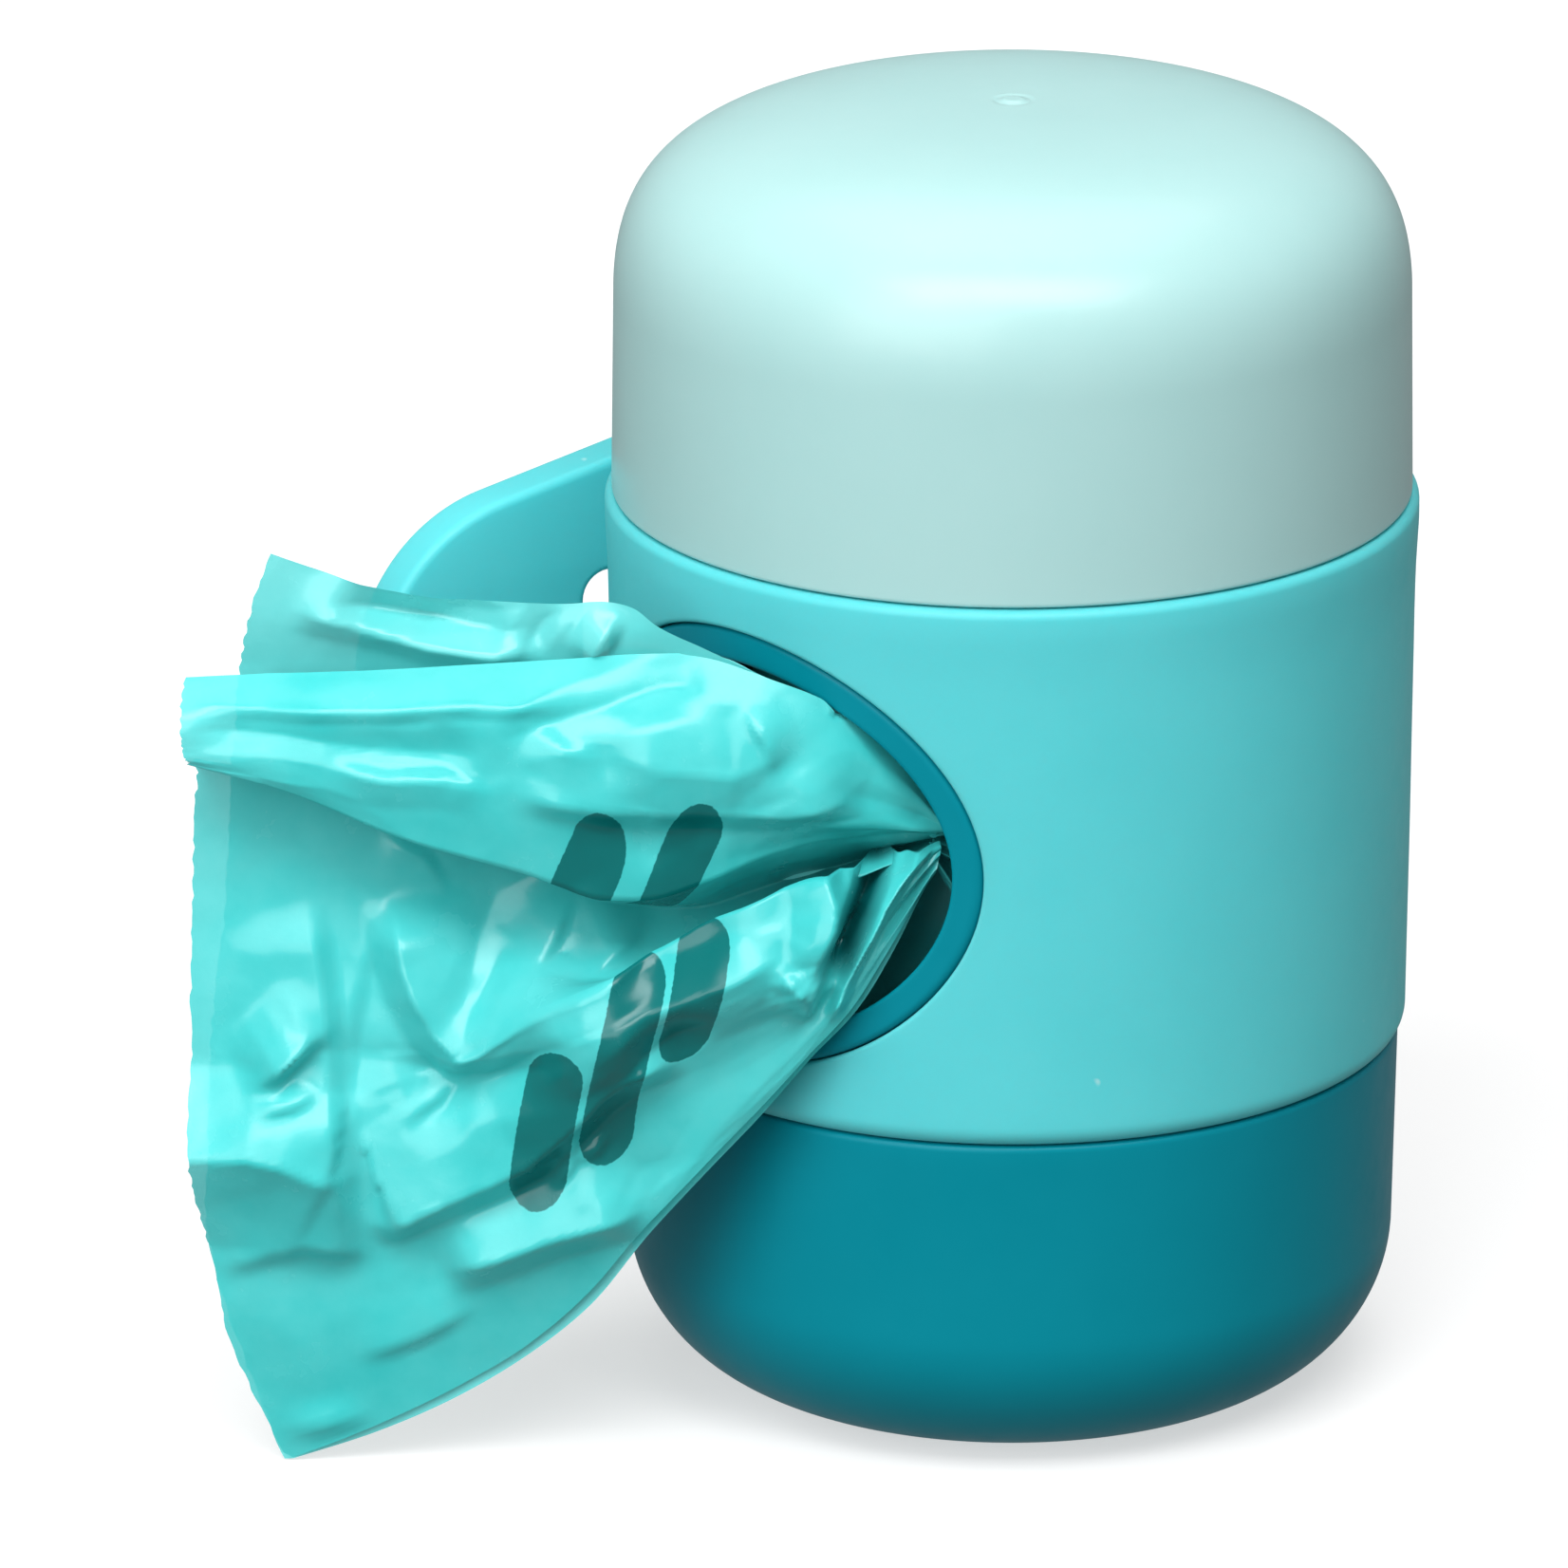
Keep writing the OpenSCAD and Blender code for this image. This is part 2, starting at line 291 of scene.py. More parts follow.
# depth 0.50 darkens the wound roll: partly the deeper tone of many wound layers, partly painted shade for the dark
# inside of the hole
MAT_WOUND = film("wound_film", printed=False, see_through=0.0, back_light=0.06, depth=0.50)


# ------------------------------------------------------------------ mesh helpers
class Shell:
    """Collects grids of points in millimetres and welds them into one mesh."""

    def __init__(self):
        self.v, self.f = [], []

    def grid(self, points, flip=False):
        points = np.asarray(points, float)
        n, m, _ = points.shape
        base = len(self.v)
        self.v.extend(points.reshape(-1, 3).tolist())
        for i in range(n - 1):
            for j in range(m - 1):
                a = base + i * m + j
                q = (a, a + 1, a + m + 1, a + m)
                self.f.append(q[::-1] if flip else q)

    def mesh(self, name, weld=0.002):
        me = bpy.data.meshes.new(name)
        me.from_pydata((np.array(self.v) * MM).tolist(), [], self.f)
        bm = bmesh.new()
        bm.from_mesh(me)
        bmesh.ops.remove_doubles(bm, verts=bm.verts, dist=weld * MM)
        bmesh.ops.dissolve_degenerate(bm, edges=bm.edges, dist=1e-8)
        bmesh.ops.recalc_face_normals(bm, faces=bm.faces)
        bm.to_mesh(me)
        bm.free()
        return me


def place(name, me, material, sharp=42.0):
    me.shade_smooth()
    if sharp:
        me.set_sharp_from_angle(angle=math.radians(sharp))
    me.materials.clear()
    me.materials.append(material)
    ob = bpy.data.objects.new(name, me)
    bpy.context.scene.collection.objects.link(ob)
    return ob


def spline(points, t):
    """Cubic through the points, at t from 0 to 1 of its length."""
    p = np.asarray(points, float)
    d = np.linalg.norm(np.diff(p, axis=0), axis=1)
    s = np.concatenate([[0], np.cumsum(d)]) / d.sum()
    m = np.gradient(p, s, axis=0, edge_order=1)
    t = np.clip(np.asarray(t, float), 0, 1)
    i = np.clip(np.searchsorted(s, t, side="right") - 1, 0, len(s) - 2)
    h = (s[i + 1] - s[i])[:, None]
    x = ((t - s[i]) / (s[i + 1] - s[i]))[:, None]
    return ((2 * x**3 - 3 * x**2 + 1) * p[i] + (x**3 - 2 * x**2 + x) * h * m[i]
            + (-2 * x**3 + 3 * x**2) * p[i + 1] + (x**3 - x**2) * h * m[i + 1])


def smooth_curve(xs, ys, x):
    """A smooth function through (xs, ys)."""
    xs, ys = np.asarray(xs, float), np.asarray(ys, float)
    m = np.gradient(ys, xs)
    i = np.clip(np.searchsorted(xs, x, side="right") - 1, 0, len(xs) - 2)
    h = xs[i + 1] - xs[i]
    t = np.clip((x - xs[i]) / h, 0, 1)
    return ((2 * t**3 - 3 * t**2 + 1) * ys[i] + (t**3 - 2 * t**2 + t) * h * m[i]
            + (-2 * t**3 + 3 * t**2) * ys[i + 1] + (t**3 - t**2) * h * m[i + 1])


def rounded(path, radii, seg=5):
    """The path of (r, z) corners with each corner rounded by about its radius."""
    out = []
    n = len(path)
    for i, c in enumerate(path):
        c = np.array(c, float)
        e = radii[i]
        if e <= 0 or i in (0, n - 1):
            out.append(c)
            continue
        a, b = np.array(path[i - 1], float), np.array(path[i + 1], float)
        p0 = c + (a - c) / np.linalg.norm(a - c) * min(e, 0.49 * np.linalg.norm(a - c))
        p2 = c + (b - c) / np.linalg.norm(b - c) * min(e, 0.49 * np.linalg.norm(b - c))
        for k in range(seg + 1):
            t = k / seg
            out.append((1 - t) ** 2 * p0 + 2 * t * (1 - t) * c + t * t * p2)
    return np.array(out)


def turn(profile, theta):
    """Points of a profile (r, z) turned about Z. Angle 0 faces -Y."""
    profile = np.asarray(profile, float)
    r, z = profile[:, 0][:, None], profile[:, 1][:, None]
    th = np.asarray(theta)[None, :]
    return np.stack([r * np.sin(th), -r * np.cos(th), z * np.ones_like(th)], -1)


# angular samples shared by everything that has the oval window in it
WIN = math.radians(50)
NX, NZ = int(56 * DETAIL), int(52 * DETAIL)
NO = int(150 * DETAIL)
TH_IN = np.linspace(-WIN, WIN, NX + 1)
TH_OUT = np.linspace(WIN, 2 * math.pi - WIN, NO + 1)
TH_ALL = np.concatenate([TH_IN, TH_OUT[1:]])


def rect_ring(z1, z2):
    """Perimeter of the window in (angle, z), anticlockwise from the lower right."""
    zr = np.linspace(z1, z2, NZ + 1)
    right = [(WIN, z) for z in zr]
    top = [(t, z2) for t in TH_IN[::-1][1:]]
    left = [(-WIN, z) for z in zr[::-1][1:]]
    low = [(t, z1) for t in TH_IN[1:]]
    return np.array(right + top + left + low)


def oval_ring(rect, z1, z2, a, b, r_of_z):
    """For each perimeter point, the oval's point (x, z) and its angle on the surface."""
    mid, half = (z1 + z2) / 2, (z2 - z1) / 2
    phi = np.arctan2((rect[:, 1] - mid) / half, rect[:, 0] / WIN)
    x, z = a * np.cos(phi), OPEN_Z + b * np.sin(phi)
    return np.arcsin(np.clip(x / r_of_z(z), -1, 1)), x, z, phi


def on_surface(th, z, r_of_z):
    r = r_of_z(z)
    return np.stack([r * np.sin(th), -r * np.cos(th), z], -1)


def window_patch(shell, z1, z2, a, b, r_of_z, rings=14):
    """The surface between the oval (a, b) and the window's edge, and round the rest of the body."""
    rect = rect_ring(z1, z2)
    th, x, z, phi = oval_ring(rect, z1, z2, a, b, r_of_z)
    rows = []
    for k in range(rings + 1):
        s = (k / rings) ** 1.6
        rows.append(on_surface(th * (1 - s) + rect[:, 0] * s, z * (1 - s) + rect[:, 1] * s, r_of_z))
    shell.grid(rows)
    zz = np.linspace(z1, z2, NZ + 1)
    shell.grid([on_surface(TH_OUT, np.full_like(TH_OUT, q), r_of_z) for q in zz])
    return phi


def oval_at(phi, a, b, r):
    """The oval's points on a cylinder of radius r."""
    x, z = a * np.cos(phi), OPEN_Z + b * np.sin(phi)
    y = -np.sqrt(np.maximum(r * r - x * x, 0))
    return np.stack([x, y, z], -1)


def edge_round(p0, corner, inward, e, seg=5):
    """Rows that turn from the surface into the wall along +Y."""
    p2 = corner + np.array([0, e, 0]) * inward
    rows = []
    for k in range(1, seg + 1):
        t = k / seg
        rows.append((1 - t) ** 2 * p0 + 2 * t * (1 - t) * corner + t * t * p2)
    return rows


# ------------------------------------------------------------------ cap
def bezier(p, n):
    t = np.linspace(0, 1, n)[:, None]
    p = np.asarray(p, float)
    return (1 - t) ** 3 * p[0] + 3 * t * (1 - t) ** 2 * p[1] + 3 * t * t * (1 - t) * p[2] + t**3 * p[3]


low = SEAM + 0.08
inner_dome = bezier([(0, 73.80), (16.2, 73.80), (20.48, 71.2), (20.48, 64.0)], 28)
outer_dome = bezier([(22.68, 64.6), (22.68, 72.75), (17.8, TOTAL_H), (0, TOTAL_H)], 72)
gate = outer_dome[:, 0] < 1.6
wall = rounded([(20.48, 64.0), (20.48, low + 9.0), (21.0, low + 9.0), (21.0, low), (22.85, low), (22.68, 64.6)],
               [0, 0.2, 0.2, 0.25, 0.30, 0], 6)
cap_profile = np.vstack([inner_dome, wall[1:-1], outer_dome])
# the moulding gate's mark at the top: a low round pip in a shallow ring
fine_r = np.linspace(1.9, 0.0, 26)
pip = TOTAL_H - 0.0045 * fine_r**2 + 0.085 / (1 + np.exp((fine_r - 0.62) / 0.055)) - 0.05 * np.exp(-((fine_r - 0.98) / 0.20) ** 2)
cap_profile = np.vstack([cap_profile[cap_profile[:, 0] * (cap_profile[:, 1] > 74.5) >= 0][: -int(gate.sum())], np.stack([fine_r, pip], 1)])
shell = Shell()
th_full = np.linspace(0, 2 * math.pi, int(224 * DETAIL) + 1)
shell.grid(turn(cap_profile, th_full))
cap = place("cap_shell", shell.mesh("cap_shell"), MAT_CAP, sharp=38)
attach(cap, "cap")
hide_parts("cap")


# ------------------------------------------------------------------ sleeve
SL_Z = [22.1, 27.6, 32.9, 38.0, 43.3, 46.7, 48.5, 50.2, 51.4, 52.2]
SL_R = [22.80, 22.87, 22.94, 22.98, 23.03, 23.06, 23.10, 23.18, 23.24, 23.24]


def sleeve_r(z):
    return smooth_curve(SL_Z, SL_R, z)


Z1, Z2 = 23.0, 51.2
shell = Shell()
BORE = 21.42
a4 = np.linspace(0, math.pi / 2, 9)
foot_round = np.stack([21.9 + 0.90 * np.sin(a4), 22.1 - 1.15 * np.cos(a4)], 1)
lip_round = np.stack([22.74 + 0.50 * np.cos(a4), 52.36 + 0.52 * np.sin(a4)], 1)
below = np.vstack([[(BORE, 20.95)], foot_round, np.stack([sleeve_r(np.linspace(22.25, Z1, 4)), np.linspace(22.25, Z1, 4)], 1)])
above = np.vstack([np.stack([sleeve_r(np.linspace(Z2, 52.2, 7)), np.linspace(Z2, 52.2, 7)], 1), lip_round, [(BORE, 52.88)]])
shell.grid(turn(below, TH_ALL))
shell.grid(turn(above, TH_ALL))
E = 0.32
phi = window_patch(shell, Z1, Z2, CUT_A + E, CUT_B + E, sleeve_r)
p0 = oval_at(phi, CUT_A + E, CUT_B + E, sleeve_r(OPEN_Z + (CUT_B + E) * np.sin(phi)))
corner = oval_at(phi, CUT_A, CUT_B, sleeve_r(OPEN_Z + CUT_B * np.sin(phi)))
rows = [p0] + edge_round(p0, corner, 1.0, E * 1.3, 6)
rows.append(oval_at(phi, CUT_A, CUT_B, BORE))
shell.grid(rows)
phi_b = window_patch(shell, Z1, Z2, CUT_A, CUT_B, lambda z: np.full_like(np.asarray(z, float), BORE), rings=4)
shell.grid(turn([(BORE, 20.95), (BORE, Z1)], TH_ALL))
shell.grid(turn([(BORE, Z2), (BORE, 52.88)], TH_ALL))
sleeve_mesh = shell.mesh("silicone_sleeve_shell")


def tab_outline():
    mid = (SEAM + SHOULDER) / 2
    half, s0, cx = (SEAM - SHOULDER) / 2 - 0.7, 11.3, TAB_LEN - TAB_ROUND
    k = math.radians(TAB_SLOPE)
    cz = half - (cx - s0) * math.tan(k) - TAB_ROUND / math.cos(k)
    t = np.linspace(k, math.pi / 2, 26)
    up = np.stack([cx + TAB_ROUND * np.sin(t), cz + TAB_ROUND * np.cos(t)], 1)
    side = np.stack([np.full(5, TAB_LEN), np.linspace(cz, -cz, 7)[1:-1]], 1)
    pts = np.vstack([[(0.5, half)], [(6.0, half)], [(s0, half)], up, side, (up * [1, -1])[::-1], [(s0, -half)], [(6.0, -half)], [(0.5, -half)]])
    pts[:, 1] += mid
    return pts


def slot_outline(near=11.4, far=17.0, h=15.2, r=1.6):
    mid = (SEAM + SHOULDER) / 2
    out = []
    for cx, cz, a0 in ((far - r, h / 2 - r, 0), (near + r, h / 2 - r, 90), (near + r, -h / 2 + r, 180), (far - r, -h / 2 + r, 270)):
        for k in range(9):
            a = math.radians(a0 + 90 * k / 8)
            out.append((cx + r * math.cos(a), mid + cz + r * math.sin(a)))
    return np.array(out)


def extruded(name, outlines, thick, e):
    """A flat plate with rounded edges from 2-D outlines, the first being the outer one."""
    cu = bpy.data.curves.new(name, "CURVE")
    cu.dimensions = "2D"
    cu.fill_mode = "BOTH"
    cu.extrude = (thick / 2 - e) * MM
    cu.bevel_depth = e * MM
    cu.bevel_resolution = 5
    cu.offset = -e * MM
    for pts in outlines:
        s = cu.splines.new("POLY")
        s.points.add(len(pts) - 1)
        for q, (x, y) in zip(s.points, pts):
            q.co = (x * MM, y * MM, 0, 1)
        s.use_cyclic_u = True
    ob = bpy.data.objects.new(name, cu)
    bpy.context.scene.collection.objects.link(ob)
    bpy.context.view_layer.update()
    me = bpy.data.meshes.new_from_object(ob.evaluated_get(bpy.context.evaluated_depsgraph_get()))
    bpy.data.objects.remove(ob)
    bm = bmesh.new()
    bm.from_mesh(me)
    bmesh.ops.remove_doubles(bm, verts=bm.verts, dist=1e-6)
    bmesh.ops.recalc_face_normals(bm, faces=bm.faces)
    bm.to_mesh(me)
    bm.free()
    return me


def boolean(base, tool, how):
    """base joined with tool, or cut by it."""
    a = bpy.data.objects.new("tmp_a", base)
    b = bpy.data.objects.new("tmp_b", tool)
    for o in (a, b):
        bpy.context.scene.collection.objects.link(o)
    mod = a.modifiers.new("b", "BOOLEAN")
    mod.operation, mod.object, mod.solver = how, b, "EXACT"
    bpy.context.view_layer.update()
    me = bpy.data.meshes.new_from_object(a.evaluated_get(bpy.context.evaluated_depsgraph_get()))
    for o in (a, b):
        bpy.data.objects.remove(o)
    return me


tab_mesh = extruded("tab", [tab_outline(), slot_outline()], TAB_T, 0.52)
# outline plane (s, z) to the row frame: s along the tab, the plate's thickness along its normal
ca, sa = math.cos(math.radians(TAB_DIR)), math.sin(math.radians(TAB_DIR))
mid_y = -(TAB_FACE - TAB_T / 2) * MM
tab_mesh.transform(Matrix(((ca, 0, sa, -sa * mid_y), (sa, 0, -ca, ca * mid_y), (0, 1, 0, 0), (0, 0, 0, 1))))
plug = Shell()
plug.grid(turn([(0, 10), (BORE - 0.01, 10), (BORE - 0.01, 60), (0, 60)], np.linspace(0, 2 * math.pi, 181)))
tab_mesh = boolean(tab_mesh, plug.mesh("plug"), "DIFFERENCE")
sleeve_mesh = boolean(sleeve_mesh, tab_mesh, "UNION")
sleeve = place("silicone_sleeve_shell", sleeve_mesh, MAT_SLEEVE, sharp=32)
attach(sleeve, "barrel")
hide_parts("silicone_sleeve")


# ------------------------------------------------------------------ barrel: base cup, chamber, neck, collar
def const(r):
    return lambda z: np.full_like(np.asarray(z, float), r)


shell = Shell()
arc = np.linspace(0, math.pi / 2, 30)
base_arc = np.stack([13.05 + 9.1 * np.sin(arc), 9.1 - 9.1 * np.cos(arc)], 1)
shoulder = rounded([(22.15, 9.1), (22.40, SHOULDER), (BARREL_R, SHOULDER), (BARREL_R, 22.4)], [0, 0.42, 0.1, 0], 6)
upright = np.stack([np.linspace(22.15, 22.37, 9), np.linspace(9.1, 19.6, 9)], 1)
outside = np.vstack([[(0, 0), (6.5, 0), (12.0, 0)], base_arc, upright[1:], shoulder[1:-1], [(BARREL_R, Z1)]])
shell.grid(turn(outside, TH_ALL))
phi = window_patch(shell, Z1, Z2, CUT_A - 0.10, CUT_B - 0.10, const(BARREL_R), rings=5)
bead = np.linspace(0, math.pi, 9)
neck = np.vstack([rounded([(BARREL_R, Z2), (BARREL_R, SEAM), (NECK_R, SEAM), (NECK_R, 56.9)], [0, 0.1, 0.1, 0], 4),
                  np.stack([NECK_R + 0.05 * np.sin(bead), 57.5 - 0.22 * np.cos(bead)], 1),
                  rounded([(NECK_R, 58.0), (NECK_R, 61.5), (CHAMBER_R, 61.5), (CHAMBER_R, Z2)], [0, 0.35, 0.35, 0], 5)])
shell.grid(turn(neck, TH_ALL))
window_patch(shell, Z1, Z2, HOLE_A, HOLE_B, const(CHAMBER_R), rings=8)
floor_arc = np.stack([12.4 + 7.2 * np.sin(arc[::-1]), 9.4 - 7.2 * np.cos(arc[::-1])], 1)
shell.grid(turn(np.vstack([[(CHAMBER_R, Z1), (CHAMBER_R, 14.0)], floor_arc, [(6.0, 2.2), (0, 2.2)]]), TH_ALL))
# collar: outer face, rounded edges, walls
E = 0.34
outer_w = oval_at(phi, CUT_A - 0.10, CUT_B - 0.10, COLLAR_R)
outer_0 = oval_at(phi, CUT_A - 0.10 - E, CUT_B - 0.10 - E, COLLAR_R)
inner_w = oval_at(phi, HOLE_A, HOLE_B, COLLAR_R)
inner_0 = oval_at(phi, HOLE_A + E, HOLE_B + E, COLLAR_R)
rows = [oval_at(phi, CUT_A - 0.10, CUT_B - 0.10, BARREL_R)]
rows += edge_round(outer_0, outer_w, 1.0, E, 6)[::-1] + [outer_0]
for k in range(1, 8):
    t = k / 8
    rows.append(oval_at(phi, (CUT_A - 0.10 - E) * (1 - t) + (HOLE_A + E) * t, (CUT_B - 0.10 - E) * (1 - t) + (HOLE_B + E) * t, COLLAR_R))
rows += [inner_0] + edge_round(inner_0, inner_w, 1.0, E, 6)
rows.append(oval_at(phi, HOLE_A, HOLE_B, (COLLAR_R + CHAMBER_R) / 2))
rows.append(oval_at(phi, HOLE_A, HOLE_B, CHAMBER_R))
shell.grid(rows)
barrel = place("barrel_shell", shell.mesh("barrel_shell"), MAT_BARREL, sharp=38)
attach(barrel, "barrel")
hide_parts("inner_barrel")


# ------------------------------------------------------------------ paper core
spin = np.linspace(0, 2 * math.pi, int(120 * DETAIL) + 1)
zs = np.linspace(ROLL_Z, ROLL_Z + ROLL_L, 80)
shell = Shell()


def spiral_dip(th, z):
    """The seam of the wound paper: a shallow groove at a steady pitch."""
    d = ((z - ROLL_Z) / 24.0 + th / (2 * math.pi)) % 1.0
    return -0.07 * np.exp(-((d - 0.5) * 24.0 / 0.35) ** 2)


T, Z = np.meshgrid(spin, zs)
ro = CORE_R - 0.04 + spiral_dip(T, Z)
ri = CORE_R - CORE_W + 0 * T
outer = np.stack([ro * np.sin(T), -ro * np.cos(T), Z], -1)
inner = np.stack([ri * np.sin(T), -ri * np.cos(T), Z], -1)
shell.grid(outer)
shell.grid(inner)
shell.grid([inner[0], (inner[0] + outer[0]) / 2, outer[0]])
shell.grid([inner[-1], (inner[-1] + outer[-1]) / 2, outer[-1]])
core = place("paper_core", shell.mesh("paper_core"), MAT_PAPER, sharp=45)
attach(core, "roll")
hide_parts("roll_core")


# ------------------------------------------------------------------ wound bags
turns = 44
shell = Shell()
edge = rng.normal(0, 0.10, turns + 1)
prof = []
for k in range(turns + 1):
    r = CORE_R + 0.02 + (ROLL_R - 0.15 - CORE_R) * k / turns
    top = ROLL_Z + ROLL_L - 0.15 - abs(edge[k])
    prof += [(r, top - 0.28), (r + 0.05, top), (r + 0.13, top)]
prof = np.array(prof)
lowprof = prof.copy()
lowprof[:, 1] = 2 * ROLL_Z + ROLL_L - prof[:, 1]
zz = np.linspace(ROLL_Z + 0.5, ROLL_Z + ROLL_L - 0.5, 40)
side = np.stack([np.full_like(zz, ROLL_R - 0.06), zz], 1)
full = np.vstack([[(CORE_R, ROLL_Z + 0.4)], lowprof, side, prof[::-1], [(CORE_R, ROLL_Z + ROLL_L - 0.4)]])
spin = np.linspace(0, 2 * math.pi, int(168 * DETAIL) + 1)
pts = turn(full, spin)
ang = spin[None, :]
soft = 0.05 * np.sin(3 * ang + 0.12 * full[:, 1][:, None]) + 0.03 * np.sin(7 * ang - 0.21 * full[:, 1][:, None])
lap = 0.12 * (((spin / (2 * math.pi)) + 0.35) % 1.0)[None, :] - 0.12
rad = np.hypot(pts[..., 0], pts[..., 1])
w = np.clip((rad - CORE_R) / (ROLL_R - CORE_R), 0, 1) ** 2
grow = 1 + (soft + lap) * w / np.maximum(rad, 1)
pts[..., 0] *= grow
pts[..., 1] *= grow
shell.grid(pts)
shell.grid(turn([(CORE_R, ROLL_Z + 0.4), (CORE_R, ROLL_Z + ROLL_L - 0.4)], spin))
roll = place("wound_bags", shell.mesh("wound_bags"), MAT_WOUND, sharp=50)
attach(roll, "roll")
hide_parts("bag_roll")


# ------------------------------------------------------------------ film
# Ribs of the two layers, from the gathered neck to the torn edge, in the film's frame: x, y, z.
FRONT = [
    [(-4.3, -18.8, 38.9), (-6.1, -19.5, 42.3), (-8.5, -20.1, 45.4), (-10.9, -20.8, 47.1), (-14.0, -20.9, 48.4), (-15.9, -20.6, 49.2), (-19.9, -20.3, 49.3), (-24.7, -20.3, 49.0), (-31.0, -20.2, 48.6), (-35.3, -20.0, 48.3), (-40.6, -19.5, 47.9), (-46.4, -19.0, 47.5)],
    [(-4.2, -19.6, 39.0), (-6.9, -20.9, 42.1), (-10.3, -22.0, 44.4), (-15.1, -22.7, 46.0), (-20.4, -22.8, 46.4), (-26.7, -22.7, 46.7), (-33.6, -22.4, 46.7), (-40.5, -22.0, 46.4), (-46.5, -21.2, 45.8)],
    [(-4.6, -19.8, 38.9), (-6.6, -21.0, 39.8), (-10.6, -22.3, 41.0), (-15.1, -22.9, 41.8), (-19.8, -23.2, 42.2), (-24.6, -23.3, 43.0), (-29.9, -23.1, 43.8), (-35.2, -22.7, 44.1), (-40.5, -22.3, 43.9), (-46.4, -21.6, 43.9)],
    [(-5.0, -19.3, 38.5), (-8.5, -20.2, 38.7), (-11.4, -20.8, 38.5), (-14.6, -21.2, 37.5), (-17.5, -21.6, 36.3), (-19.9, -22.0, 35.6), (-22.6, -22.3, 35.6), (-27.3, -22.5, 37.2), (-33.7, -22.4, 39.1), (-40.6, -21.9, 41.8), (-46.1, -21.2, 43.1)],
    [(-5.3, -18.0, 37.7), (-8.5, -16.4, 36.0), (-11.5, -15.6, 34.7), (-14.7, -15.4, 33.8), (-17.7, -15.6, 33.1), (-20.1, -15.9, 33.2), (-22.7, -16.3, 33.9), (-27.5, -16.8, 36.1), (-33.9, -17.2, 38.4), (-40.8, -17.6, 41.2), (-45.9, -17.8, 42.3)],
    [(-5.3, -18.5, 37.7), (-8.0, -18.6, 36.2), (-10.4, -18.4, 34.8), (-14.1, -18.0, 32.8), (-17.1, -17.8, 31.6), (-20.0, -17.6, 30.8), (-22.7, -17.5, 30.9), (-27.5, -17.6, 32.5), (-33.9, -17.9, 34.7), (-40.8, -18.0, 37.3), (-46.0, -18.2, 39.6)],
    [(-4.9, -19.4, 38.1), (-6.9, -20.6, 37.6), (-8.7, -21.7, 37.3), (-10.6, -22.7, 37.5), (-14.0, -23.2, 36.1), (-16.7, -23.2, 34.8), (-19.9, -22.9, 32.8), (-22.6, -22.5, 31.5), (-26.9, -21.8, 29.2), (-30.7, -21.0, 26.6), (-35.5, -20.0, 25.9), (-40.9, -19.2, 26.6), (-46.4, -18.7, 27.3)],
    [(-4.8, -19.8, 37.9), (-6.6, -21.4, 36.6), (-8.5, -23.1, 35.2), (-10.8, -24.2, 33.9), (-14.6, -24.5, 32.3), (-19.4, -24.0, 29.6), (-24.7, -22.9, 26.9), (-30.1, -21.7, 24.3), (-35.5, -20.6, 22.8), (-40.9, -19.8, 21.9), (-46.5, -19.0, 20.8)],
    [(-4.9, -19.9, 37.3), (-7.0, -21.4, 34.4), (-9.5, -22.9, 31.9), (-14.1, -23.1, 28.2), (-19.4, -22.4, 24.2), (-24.8, -21.3, 20.3), (-30.2, -20.3, 17.1), (-35.7, -19.6, 14.9), (-41.1, -19.2, 14.2), (-45.6, -18.8, 14.0)],
    [(-5.0, -19.9, 36.8), (-7.2, -21.3, 33.2), (-9.3, -22.6, 30.3), (-12.7, -22.9, 26.2), (-18.1, -22.2, 20.8), (-23.8, -21.1, 15.7), (-29.2, -20.2, 11.9), (-35.8, -19.3, 8.3), (-40.7, -18.8, 6.8), (-44.1, -18.5, 6.5)],
    [(-5.1, -19.9, 36.4), (-7.1, -21.4, 32.4), (-9.0, -22.5, 29.3), (-11.4, -22.8, 26.6), (-14.1, -22.6, 23.3), (-17.6, -22.0, 19.2), (-20.6, -21.2, 15.6), (-24.1, -20.3, 10.9), (-28.2, -19.6, 7.1), (-31.5, -19.1, 4.9), (-35.9, -18.6, 2.5), (-41.3, -18.2, 0.0)],
]
FRONT_SHARP = (0, 3, 4, 6, 10)     # ribs where the film is folded
